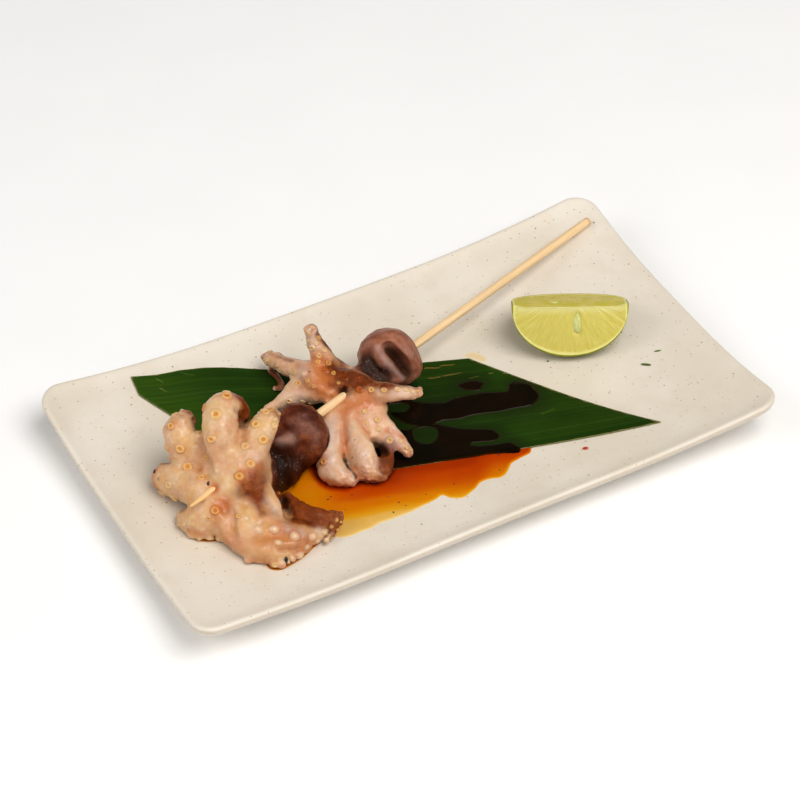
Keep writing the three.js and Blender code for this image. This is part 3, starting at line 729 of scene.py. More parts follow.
# stations (x, y, z, radius), x to the far side of the skewer, y up, z back along it
FRONT = dict(
    at=17.0,
    arms=dict(
        A1=[(6, -8, 9, 7), (15.3, -12.8, 6, 6.2), (19.4, -2.9, 4, 6.5), (23.9, 4.1, 3.5, 7), (27.4, 9, 5, 6.3), (29.1, 10.3, 10, 4.1)],
        A2=[(3, -9, 9, 7), (6.8, -8, 6, 6.5), (6.6, 6.1, 7, 6.4), (9.3, 14.8, 10, 6.9), (14.1, 19.3, 15, 7.2), (14.8, 20.8, 20, 5.4), (13.7, 17.6, 24, 4.3), (12.4, 12.3, 25, 3.5), (11.2, 8.0, 24, 2.6)],
        A3=[(-0.8, -7.4, 9, 6.5), (-2.4, 3.4, 13, 6.7), (-2, 10.7, 18, 6.4), (-1.6, 16.6, 24, 5.5), (-0.9, 18.3, 29, 3.2)],
        A4=[(2, -3, 3, 7), (5, -3.6, -4.1, 6.7), (15.5, -6.6, -4.2, 7.4), (23.7, -9.1, -4.5, 6.8), (27.3, -9.6, -5.5, 4.3)],
        A5=[(-2, -3, 2, 7), (-2.9, -5.6, -5.3, 6.4), (-0.5, -10.3, -11.4, 6.9), (4, -12.9, -14.1, 4.5), (7.4, -12.9, -14.1, 2.7)],
        A5b=[(-3.1, -8, -4, 6.5), (-3.1, -10.8, -9.4, 5.9), (-1.5, -14.9, -12.5, 3.7)],
        A6=[(-4, -5, 2, 7.5), (-7.3, -7.6, -3.7, 7.5), (-17, -11.6, -4.7, 8), (-24.9, -14.1, -6.1, 5.8), (-31.4, -15.6, -5.2, 3.4)],
        A7=[(-6, -4, 3, 7), (-10.5, -6.4, -0.2, 6.7), (-19.6, -9.4, 1, 6.9), (-28.2, -11.3, 4.4, 6.1), (-35.2, -12.1, 10, 4.9), (-37.9, -12.8, 18.1, 3.5), (-37.8, -13.1, 25.3, 2.2)],
        A7b=[(-16, -10, 0, 6), (-23.5, -12.5, -1.5, 5.8), (-32.6, -14.4, 0.4, 5), (-37.8, -15.3, 3.4, 3.3)],
        A8=[(-5, -12, 16, 5.5), (-9.2, -14.1, 18, 4.3), (-23.3, -7.4, 12.6, 2.3), (-29.8, -9.2, 16.6, 2.2), (-34.8, -10.9, 22.2, 2.2), (-38.4, -11.5, 27.8, 1.4)],
    ),
    webs=[
        [(13.6, -7.2, 6, 5.9), (15.6, 3.3, 6, 4), (17.4, 10.3, 7, 2.1)],
        [(3.6, -2.8, 9, 5.9), (3.5, 7, 13, 4.5), (3.9, 12, 17, 2.2)],
    ],
    head=((0, -4.2, 45.9), (12.5, 14.5, 11.5)),
    neck=[(-2, -2, 14, 10), (-4, -9, 28, 9), (0, -8.2, 42.9, 9)],
    sleeve=[(-1, -2, 15, 6.5), (-1, -2.2, 28, 6.2), (0, -4, 40, 7)],
    disc=((0, -1, 10), 13.0),
    # folds placed by pixel: (u, v, height above the plate or leaf, radius)
    folds=[
        [(257, 480, 19, 4.2), (264, 491, 16, 3.4), (270, 500, 13.5, 3.0), (277, 509, 11, 2.8), (286, 517, 9, 2.6), (299, 525, 7.5, 2.4)],
        [(232, 528, 6, 5.2), (241, 537, 5.4, 5.2), (251, 546, 5, 5), (263, 550, 4.6, 5), (276, 552, 4.2, 4.6), (289, 547, 4, 4.2), (302, 541, 4, 3.8)],
        [(296, 510, 9, 3), (308, 516, 8, 3.2), (321, 519, 7, 3.2), (333, 520, 6, 2.8)],
        [(250, 484, 19, 5), (258, 497, 15, 4.6), (266, 507, 12, 4.2), (278, 516, 9.5, 3.8)],
        [(285, 500, 8.6, 2.4), (289, 508, 8, 2.6), (296, 515, 7, 2.6)],
        [(291, 501, 9.5, 1.7), (300, 507, 9.5, 1.9), (312, 513, 9, 2.0), (326, 516, 8, 1.9), (340, 515.5, 7, 1.2)],
    ],
    beads=[
        (237.5, 546.5, 2.2, 1.8), (243, 551, 2.0, 1.7), (250, 558.5, 2.0, 1.9), (257.5, 561.5, 1.9, 1.8), (266, 559.5, 1.9, 1.6), (273, 564.5, 1.8, 1.8), (280.5, 564.5, 1.8, 1.8), (291, 559, 1.8, 1.6),
        (301, 552.5, 2, 1.5), (309, 547, 2.2, 1.5), (316, 541, 2.4, 1.4), (181, 520.5, 2, 1.5), (186, 528.5, 1.8, 1.5), (192, 534.5, 1.8, 1.6), (200, 537.5, 1.8, 1.5), (210, 538.5, 1.8, 1.6), (220, 538.5, 1.8, 1.5), (228.5, 541, 1.8, 1.6),
        (288.5, 496, 10.6, 1.2), (292.5, 498.8, 10.4, 1.25), (296.6, 499.8, 10.4, 1.35), (300.4, 503.6, 10.2, 1.25), (303.6, 504.6, 10.2, 1.3), (306.8, 508, 10, 1.2), (310.4, 509.6, 9.8, 1.2), (315, 511.8, 9.2, 0.9),
        (341.5, 513.5, 6, 0.8), (340.5, 516.5, 5.8, 0.8), (339.5, 519.5, 5.4, 0.85), (338, 522.5, 4.9, 0.85), (336.5, 525.5, 4.6, 0.85), (335, 528.5, 4.2, 0.85), (333.3, 531.5, 3.8, 0.85), (331.5, 534.5, 3.5, 0.85), (329.5, 537.5, 3.2, 0.85), (327, 540.5, 2.8, 0.85),
    ],
    hollows=[(290, 463, 314, 470, 5.0, -1.6), (283, 476, 292, 492, 3.0, -1.0)],
    grooves=[(283, 501, 290, 513, 2.2, -2.6), (228, 498, 232, 534, 2.6, -1.6), (280, 548.5, 297, 549, 1.0, -1.2), (203, 444, 209, 470, 3.0, -1.1), (166, 461, 186, 478, 2.6, -1.2)],
)
BACK = dict(
    at=92.0,
    arms=dict(
        B1=[(7, 1, 0, 6.2), (14.9, 0.9, -3, 5.8), (25.1, -1.5, -2.1, 4.3), (33.5, -3.5, -1.9, 3.8), (41, -5, -1.7, 3.5), (44.1, -6, -1.6, 2.6)],
        B1b=[(38, -6, 0, 1.6), (42.5, -9.9, 1.4, 1.4), (41.9, -11, -2.4, 1.3), (36.5, -12.1, -3, 1.3), (33.6, -13.6, -4.6, 1.6), (34.7, -14.2, -6.9, 1.3)],
        B2=[(8, -2, 4, 6), (14.5, -1.8, 6, 5.3), (17.3, 3.6, 5, 5), (20.9, 7.7, 5, 4.1), (23.8, 12.3, 5, 3.3), (25.4, 16.6, 5, 2.5)],
        B3=[(3, -1, 0, 6), (8.7, -1.1, -4.9, 5.3), (16.6, -4.8, -8.9, 4.2), (21.5, -7.4, -13.8, 3.4), (25.1, -10.6, -19.9, 2.2), (27.2, -12.3, -24.3, 1.4)],
        B4=[(1.2, 1.2, 4, 5.3), (-9.1, 3.7, 4.4, 4.8), (-16.1, 5.8, 6.7, 3.9), (-21.9, 7.4, 9.6, 3), (-27.2, 8.5, 13, 2)],
        B5=[(-4.1, -2, -0.2, 5.3), (-13.5, -4, -0.3, 5.2), (-21.1, -6, -0.8, 4.6), (-27.8, -8.5, -0.4, 3.8), (-33.6, -11, -0.2, 2.4)],
        B6=[(-3.9, -3.1, -3.1, 4.7), (-11.6, -5.2, -7.6, 5.1), (-20.3, -7.4, -13.2, 5.3), (-27.1, -10, -17.5, 4.9), (-30.8, -11.6, -19.6, 3.4)],
        B7=[(-0.7, -3.7, -7.3, 4.2), (-4.7, -6.4, -14.4, 4.2), (-10.6, -8.7, -22.4, 4.3), (-15.8, -11.1, -27.6, 4.3), (-22.2, -12.4, -29, 3.7), (-26, -13.9, -27, 2.2)],
        B8=[(-14, -7, -6, 3.4), (-21, -8.2, -6.1, 2.6), (-28, -9.7, -6.8, 2.3), (-32.6, -11.3, -11.5, 2.2), (-35.5, -12.5, -17.5, 2.1)],
    ),
    webs=[
        [(16.6, -4.7, 2, 5.1), (23.6, -2.9, 2.5, 3.5), (28.1, -3.1, 3, 1.6)],
        [(-2.9, -4.2, -6.6, 3.9), (-9.8, -7.4, -14.5, 2.9), (-14.8, -10.6, -18.9, 1.7)],
        [(-8, -0.9, 1.8, 4.5), (-13.4, -1.8, 4.4, 2.9), (-15.5, -2.8, 5.7, 1.5)],
        [(-10.6, -4.1, -4.9, 4.5), (-18.3, -7.2, -7.4, 2.7)],
    ],
    head=((1.1, 3.0, 25.9), (12.3, 12.2, 12.3)),
    bulge=((-2.9, -3.4, 31.8), (7.6, 7.6, 7.6)),
    neck=[(0, -1, 6, 7.5), (0, 0, 18, 7)],
    sleeve=[(0, 0, 8, 6), (0, 1, 18, 6)],
    disc=((0, -3, 4), 7.2),
    folds=[
        [(340, 367, 15, 2.8), (349, 373, 15, 2.8)],
        [(300, 386, 12, 3.4), (294, 386, 11, 2.6), (287, 393, 9.5, 1.8)],
        [(344, 426, 8.5, 2.6), (345, 442, 6.5, 2.6), (346, 456, 4.8, 2.4), (348, 466, 3.2, 2.0)],
        [(322, 446, 7, 3.2), (323, 460, 5, 3.3), (329, 471, 4, 3.4)],
        [(327, 474, 3.4, 3.2), (338, 478, 3, 3.2), (350, 477, 3, 2.8)],
        [(357, 440, 8, 5.2), (361, 456, 6, 5.0), (366, 468, 4, 4.2)],
        [(330, 424, 9.6, 4.6), (331, 440, 8.2, 4.6), (333, 456, 6.4, 4.4), (336, 468, 4.6, 3.9)],
        [(361, 472, 3, 2.6), (372, 474.5, 3, 2.8), (381, 471, 3, 2.4)],
        [(387, 452, 6.5, 2.0), (385.5, 458, 5.5, 2.8), (385, 465, 4, 3.0), (384, 471, 3, 2.6)],
    ],
    beads=[
        (322, 472.5, 2.2, 1.3), (326.5, 478.5, 1.8, 1.3), (332, 482.5, 1.6, 1.3), (338.5, 484, 1.5, 1.3), (345, 483.5, 1.5, 1.3), (350.5, 481.5, 1.6, 1.2), (354, 477, 2.0, 1.2),
        (359.5, 471, 2.2, 1.2), (362.5, 476, 1.8, 1.2), (368, 479, 1.6, 1.3), (374, 479.5, 1.6, 1.3), (379.5, 477.5, 1.8, 1.2), (384, 473, 2.2, 1.2), (388, 467, 3, 1.1), (391, 460, 4, 1.1),
    ],
    hollows=[(389.5, 353.5, 404, 371, 3.9, -4.6), (387, 348, 398, 357, 3.2, -1.8), (369, 366, 386, 376, 5.5, -2.2), (379, 349, 387, 362, 2.4, 1.0), (387, 362, 401, 377, 2.6, 1.2)],
    grooves=[(335, 400, 344, 392.5, 2.5, -2.6), (377, 445, 382, 451, 2.6, -3.2), (356, 416, 370, 437, 2.2, -0.8), (322, 362, 332, 384, 5.0, -1.4)],
)


def octopus_field(o, lo, hi, h):
    f = Field(lo, hi, h)
    place = local(o["at"])
    axes = (SU, SV, W)
    for arm in list(o["arms"].values()) + o["webs"]:
        s = spline(arm, 4)
        f.chain(place(s[:, :3]), np.maximum(s[:, 3], 0.8), 3.5 if s[:, 3].max() > 2.5 else 1.2)
    c, r = o["disc"]
    f.blob(place(np.array([c], float))[0], axes, (r, r, r), 3.5)
    for fold in o["folds"]:
        s = spline([[*on_rest(u, v, z), r_] for u, v, z, r_ in fold], 4)
        f.chain(s[:, :3], np.maximum(s[:, 3], 0.8), 2.6)
    score(f, o["grooves"])
    rng = np.random.default_rng(17)
    for u, v, z, r_ in o["beads"]:
        # little lobes along the arms' lower edges, uneven in size and reach
        p = on_rest(u, v, z)
        r_ = r_ * rng.uniform(0.55, 0.95)
        q = p + rng.uniform(-0.7, 0.7, 3) * [1, 1, 0.3]
        f.chain(np.array([q, q + (p - q) * 0.5 + [0, 0, 0.6]]), np.array([r_, r_ * 0.9]), 1.3)
    for (u, v, z, r_), (u1, v1, z1, r1) in zip(o["beads"][:-1], o["beads"][1:]):
        if math.hypot(u1 - u, v1 - v) < 13 and min(z, z1) < 5:
            for t in (0.3, 0.7):
                q = on_rest(u + (u1 - u) * t + rng.uniform(-0.8, 0.8), v + (v1 - v) * t + rng.uniform(0.4, 2.2), max(z + (z1 - z) * t - 0.5, 0.5))
                f.chain(np.array([q, q + [0, 0, 0.5]]), np.array([1.0, 0.9]) * rng.uniform(0.4, 0.62), 0.9)
    hk = Field(lo, hi, h)
    for row in ("neck", "sleeve"):
        s = spline(o[row], 4)
        hk.chain(place(s[:, :3]), s[:, 3], 2.5)
    c, r = o["head"]
    hk.blob(place(np.array([c], float))[0], axes, r, 2.5)
    if "bulge" in o:
        c, r = o["bulge"]
        hk.blob(place(np.array([c], float))[0], axes, r, 5.0)
    score(hk, o["hollows"])
    return f, hk


def sample(f, P):
    """A field's value at points, by straight interpolation."""
    q = np.clip((P - f.lo) / f.h, 0, np.array(f.d.shape) - 1.001)
    i = q.astype(int)
    t = q - i
    out = 0.0
    for a in (0, 1):
        for b in (0, 1):
            for c in (0, 1):
                w = (t[:, 0] if a else 1 - t[:, 0]) * (t[:, 1] if b else 1 - t[:, 1]) * (t[:, 2] if c else 1 - t[:, 2])
                out = out + w * f.d[i[:, 0] + a, i[:, 1] + b, i[:, 2] + c]
    return out


def arm_frames(o):
    """Every arm's centre line in the row frame, with its radius, its share of
    the length and the direction in which its suckers look."""
    place = local(o["at"])
    mouth = TIP + W * o["at"]
    rows = []
    for name, arm in o["arms"].items():
        s = spline(arm, 6)
        P = place(s[:, :3])
        T = np.gradient(P, axis=0)
        T /= np.linalg.norm(T, axis=1, keepdims=True)
        rel = P - mouth
        radial = rel - (rel @ W)[:, None] * W
        radial /= np.maximum(np.linalg.norm(radial, axis=1, keepdims=True), 1e-6)
        oral = -W + 0.7 * radial
        oral = oral - (oral * T).sum(1)[:, None] * T
        oral /= np.maximum(np.linalg.norm(oral, axis=1, keepdims=True), 1e-6)
        L = np.concatenate([[0], np.cumsum(np.linalg.norm(np.diff(P, axis=0), axis=1))])
        rows.append((name, P, T, oral, s[:, 3], L / L[-1], L[-1]))
    return rows


class Hits:
    """Finds where a pixel of the camera's picture, or any line, meets a mesh."""

    def __init__(self, V, F):
        self.V, self.F = V, F
        self.tree = BVHTree.FromPolygons(V.tolist(), F.tolist())

    def pixel(self, u, v):
        for du, dv in ((0, 0), (1, 0), (-1, 0), (0, 1), (0, -1), (2, 0), (-2, 0), (0, 2), (0, -2)):
            at, n, _, _ = self.tree.ray_cast(Vector(EYE), Vector(ray(u + du, v + dv)), 3000)
            if at is not None:
                return np.array(at), np.array(n)
        return None, None

    def seen(self, p):
        d = Vector(p - EYE)
        at, _, _, dist = self.tree.ray_cast(Vector(EYE), d.normalized(), 3000)
        return at is not None and dist > d.length - 1.2

    def near(self, p):
        at, n, i, _ = self.tree.find_nearest(Vector(p))
        return np.array(at), np.array(n), i


def carve(V, N, hits, strokes):
    """Soft grooves (negative) and ridges (positive) between pixels."""
    for u0, v0, u1, v1, radius, depth in strokes:
        a, na = hits.pixel(u0, v0)
        b, nb = hits.pixel(u1, v1)
        if a is None or b is None:
            continue
        ab = b - a
        t = np.clip(((V - a) @ ab) / max(ab @ ab, 1e-6), 0, 1)
        d = np.linalg.norm(V - (a + t[:, None] * ab), axis=1)
        n = na + nb
        n /= np.linalg.norm(n)
        facing = smooth01((N @ n + 0.2) / 0.6)
        V = V + n * (depth * np.exp(-((d / radius) ** 2)) * facing)[:, None]
    return V


def dab(V, hits, dabs):
    """A soft mask from dabs: (u, v, radius in mm, strength), or a long one
    between two pixels: (u0, v0, u1, v1, radius, strength)."""
    out = np.zeros(len(V))
    for row in dabs:
        radius, strength = row[-2:]
        a, _ = hits.pixel(*row[:2])
        b, _ = hits.pixel(*row[-4:-2])
        if a is None or b is None:
            continue
        ab = b - a
        t = np.clip(((V - a) @ ab) / max(ab @ ab, 1e-6), 0, 1)
        d = np.linalg.norm(V - (a + t[:, None] * ab), axis=1)
        out = 1 - (1 - out) * (1 - strength * np.exp(-((d / (0.72 * radius)) ** 2)))
    return out


def build_octopus(label, o, h, material, strokes, dabs, suckers, avoid=None, seed=0):
    place = local(o["at"])
    ends = np.vstack([place(np.array(a)[:, :3]) for a in list(o["arms"].values())] + [place(np.array([o["head"][0]]))])
    c_head = place(np.array([o["head"][0]]))[0]
    lo = np.minimum(ends.min(0) - 9, c_head - 17)
    hi = np.maximum(ends.max(0) + 9, c_head + 17)
    lo[2] = max(lo[2], 6.0)
    arms, head = octopus_field(o, lo, hi, h)
    d = arms.d.copy()
    k = 2.5
    m = np.clip(0.5 + 0.5 * (head.d - d) / k, 0, 1)
    d = head.d * (1 - m) + d * m - k * m * (1 - m)
    # it rests on the plate or the leaf
    n = arms.n
    X = (arms.lo[0] + h * np.arange(n[0]))[:, None]
    Y = (arms.lo[1] + h * np.arange(n[1]))[None, :]
    Z = arms.lo[2] + h * np.arange(n[2])
    rest = rest_z(X + 0 * Y, Y + 0 * X) + 0.12
    under = (rest[:, :, None] - Z[None, None, :]).astype(np.float32)
    k = 1.0
    m = np.clip(0.5 - 0.5 * (under - d) / k, 0, 1)
    d = under * (1 - m) + d * m + k * m * (1 - m)
    if avoid is not None:
        shape = Field(lo, hi, h)
        p2 = local(avoid["at"])
        s = spline(avoid["neck"], 4)
        shape.chain(p2(s[:, :3]), s[:, 3], 2.5)
        c, r = avoid["head"]
        shape.blob(p2(np.array([c], float))[0], (SU, SV, W), r, 2.5)
        d = np.maximum(d, 0.3 - shape.d)
    d[0], d[-1], d[:, 0], d[:, -1], d[:, :, 0], d[:, :, -1] = (np.float32(5.0),) * 6
    V, F = surface_nets(d, arms.lo, h)
    V = relax(V, F, 3, 0.5)
    N = vertex_normals(V, F)
    if ((V - V.mean(0)) * N).sum() < 0:
        F = F[:, ::-1].copy()
        N = -N
    mantle = smooth01((sample(arms, V) - sample(head, V)) / 3.0 + 0.35)

    # which arm each vertex belongs to
    rows = arm_frames(o)
    best = np.full(len(V), 1e9)
    along = np.zeros(len(V))
    oral = np.zeros_like(V)
    for name, P, T, orl, r, t, L in rows:
        for i in range(0, len(P), 2):
            q = np.linalg.norm(V - P[i], axis=1) / max(r[i], 1.2)
            w = q < best
            best[w] = q[w]
            along[w] = t[i]
            oral[w] = orl[i]
    tip = diffuse(F, smooth01((along - 0.8) / 0.2) * (1 - mantle), 12)
    dorsal = smooth01((-(N * oral).sum(1) - 0.02) / 0.5) * (1 - mantle)
    view = EYE - V
    view /= np.linalg.norm(view, axis=1, keepdims=True)
    dorsal = dorsal * (0.12 + 0.88 * smooth01(1 - ((N * view).sum(1) + 0.05) / 0.55))
    dorsal = diffuse(F, dorsal, 40)

    hits = Hits(V, F)
    V = carve(V, N, hits, strokes)
    N = vertex_normals(V, F)
    # flesh: broad unevenness, fine pores, knobbly arm ends, wrinkles on the head
    w = 0.34 * noise(V, 6.0, seed + 1) + 0.26 * noise(V, 2.6, seed + 2) + 0.10 * noise(V, 1.2, seed + 3)
    knob = np.maximum(noise(V, 1.5, seed + 4), -0.25)
    w = w + tip * (0.62 * knob) + dorsal * 0.10 * noise(V, 0.9, seed + 6)
    ridge = 1 - np.abs(noise(V * [1, 1, 0.7], 4.6, seed + 5)) * 2
    w = w + mantle * (0.22 * ridge - 0.1 + 0.05 * noise(V, 1.0, seed + 7))
    low = smooth01((V[:, 2] - rest_z(V[:, 0], V[:, 1]) - 0.2) / 1.0)
    V = V + N * (w * low)[:, None]
    N = vertex_normals(V, F)
    hits = Hits(V, F)
    masks = {k: dab(V, hits, v) for k, v in dabs.items()}
    # the dark mask is dark head skin, with painted shade in the gaps and holes (the gap mask) merged into it
    masks["dark"] = 1 - (1 - masks["dark"] * smooth01(mantle * 1.6)) * (1 - masks.pop("painted_gap_shade"))
    # concavity of the flesh; in the colour it drives painted shade in the folds and painted highlight on the ridges
    cavity = ((relax(V, F, 16, 0.5) - V) * N).sum(1) / 0.42
    attrs = {"mantle": mantle, "dorsal": dorsal, "tip": tip, "near": 1 - low, "cavity": np.clip(cavity, -1, 1), **masks}
    body = piece("octopus_" + label + "_flesh", V, F, material, attrs)

    # suckers: those that the picture shows, then the same on the hidden sides
    spots = []
    for u, v, width, tone in suckers:
        p, nn = hits.pixel(u, v)
        if p is not None:
            spots.append((p, nn, width / 2.45 / 2 * 0.9, tone))
    shown = np.array([s[0] for s in spots])
    rng = np.random.default_rng(seed + 40)
    for name, P, T, orl, r, t, L in rows:
        if r.max() < 3.2 or name in ("A8", "B8", "B1b", "A5b", "A7b"):
            continue
        count = int(L / 4.2)
        for j in range(2, count):
            s_ = (j + 0.5) / count
            i = int(np.clip(np.searchsorted(t, s_), 1, len(t) - 1))
            side = np.cross(T[i], orl[i]) * (1 if j % 2 else -1)
            dirn = orl[i] + side * 0.45
            dirn /= np.linalg.norm(dirn)
            at, nn, _, _ = hits.tree.ray_cast(Vector(P[i] + dirn * 14), Vector(-dirn), 14)
            if at is None:
                continue
            at, nn = np.array(at), np.array(nn)
            if hits.seen(at + nn * 0.3) or at[2] - float(rest_z(at[0], at[1])) < 1.5:
                continue
            size = np.clip(r[i] * 0.3, 0.6, 1.9) * rng.uniform(0.9, 1.1)
            if len(shown) and np.linalg.norm(shown - at, axis=1).min() < size * 2.2:
                continue
            spots.append((at, nn, size, rng.uniform(0.2, 0.7)))
            shown = np.array([s[0] for s in spots])
    # an open cup with a raised rim, and a filled one that is only outlined
    full = np.array([[0.0, 0.42], [0.25, 0.41], [0.45, 0.38], [0.6, 0.33], [0.72, 0.27], [0.82, 0.19], [0.9, 0.1], [0.99, 0.15], [1.1, 0.14], [1.25, 0.05], [1.42, -0.03]])
    full_line = np.array([0, 0, 0, 0, 0.1, 0.5, 1, 0.8, 0.3, 0, 0])
    open_line = np.array([0, 0, 0.1, 0.35, 0.15, 0, 0, 0.1, 0.45, 0.3, 0])
    prof = np.array([[0.0, 0.16], [0.2, 0.14], [0.36, 0.17], [0.47, 0.30], [0.57, 0.46], [0.68, 0.54], [0.8, 0.53], [0.92, 0.43], [1.04, 0.26], [1.2, 0.1], [1.42, -0.03]])
    ring_of = np.array([0, 0, 0.1, 0.7, 1, 1, 1, 0.85, 0.5, 0.15, 0])
    core_of = np.array([1, 1, 0.9, 0.35, 0, 0, 0, 0, 0, 0, 0])
    ns = 20
    cup_prof = prof * [1, 0.56]
    VV, FF, ring, core, tone_, base_i, line_ = [], [], [], [], [], [], []
    for p, nn, R, tone in spots:
        prof = full if tone < 0.18 else cup_prof
        line_.append(np.concatenate([[0], np.repeat((full_line if tone < 0.18 else open_line)[1:], ns)]))
        # the mean normal of the flesh round about
        a = np.cross(nn, [0.3, 0.2, 0.9])
        a /= np.linalg.norm(a)
        b = np.cross(nn, a)
        around = [hits.near(p + (a * math.cos(q) + b * math.sin(q)) * R)[1] for q in np.linspace(0, 2 * math.pi, 6, endpoint=False)]
        n0 = nn + np.mean(around, 0) * 2
        n0 /= np.linalg.norm(n0)
        a = np.cross(n0, [0.3, 0.2, 0.9])
        a /= np.linalg.norm(a)
        b = np.cross(n0, a)
        squash_, turn_ = rng.uniform(0.88, 1.0), rng.uniform(0, 3.14)
        start = sum(len(x) for x in VV)
        pts = []
        for j, (rr, hh) in enumerate(prof[1:], 1):
            q = np.arange(ns) / ns * 2 * np.pi
            wob = 1 + 0.05 * np.sin(2 * q + turn_) + 0.03 * np.sin(3 * q + 2 * turn_)
            ca, sa = np.cos(q) * wob, np.sin(q) * wob * squash_
            pt = p + R * rr * (ca[:, None] * a + sa[:, None] * b) + n0 * (hh * R)
            if j >= len(prof) - 3:
                sink = {len(prof) - 3: 0.75, len(prof) - 2: 0.3, len(prof) - 1: 0.0}[j]
                snapped = np.array([hits.near(x)[0] for x in pt])
                level = snapped + n0 * (-0.06 if j == len(prof) - 1 else hh * R)
                pt = pt * sink + level * (1 - sink)
            pts.append(pt)
        pts = np.vstack([p + n0 * prof[0][1] * R] + pts)
        _, _, fi = hits.near(p)
        base = F[fi][0]
        m_ = len(prof) - 1
        VV.append(pts)
        FF.append((start, m_))
        ring.append(np.concatenate([[ring_of[0]], np.repeat(ring_of[1:], ns)]))
        core.append(np.concatenate([[core_of[0]], np.repeat(core_of[1:], ns)]))
        tone_.append(np.full(len(pts), tone))
        base_i.append(np.full(len(pts), base))
    quads, tris = [], []
    for start, m_ in FF:
        i = np.arange(ns)
        tris.append(np.stack([np.full(ns, start), start + 1 + i, start + 1 + (i + 1) % ns], 1))
        quads.append(grid_faces(m_, ns, wrap_v=True, offset=start + 1))
    VV = np.vstack(VV)
    quads, tris = np.concatenate(quads), np.concatenate(tris)
    base_i = np.concatenate(base_i)
    nrm = vertex_normals(VV, quads)
    if (nrm * N[base_i]).sum() < 0:
        quads = quads[:, ::-1]
    tn = np.cross(VV[tris[:, 1]] - VV[tris[:, 0]], VV[tris[:, 2]] - VV[tris[:, 0]])
    if (tn * N[base_i[tris[:, 0]]]).sum() < 0:
        tris = tris[:, ::-1]
    sa = {k: v[base_i] for k, v in attrs.items()}
    sa["cavity"] = 0 * sa["cavity"]
    sa["ring"], sa["core"], sa["tone"], sa["line"] = np.concatenate(ring), np.concatenate(core), np.concatenate(tone_), np.concatenate(line_)
    cups = piece("octopus_" + label + "_suckers", VV, [quads, tris], material, sa)
    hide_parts("octopus_" + label)
    return body, cups, hits


# ------------------------------------------------------------------ lime
LIME = dict(middle=(82.2, 6.6), axis=(0.885, -0.466), half=24.8, radius=24.0, front=60.0, back=30.0)


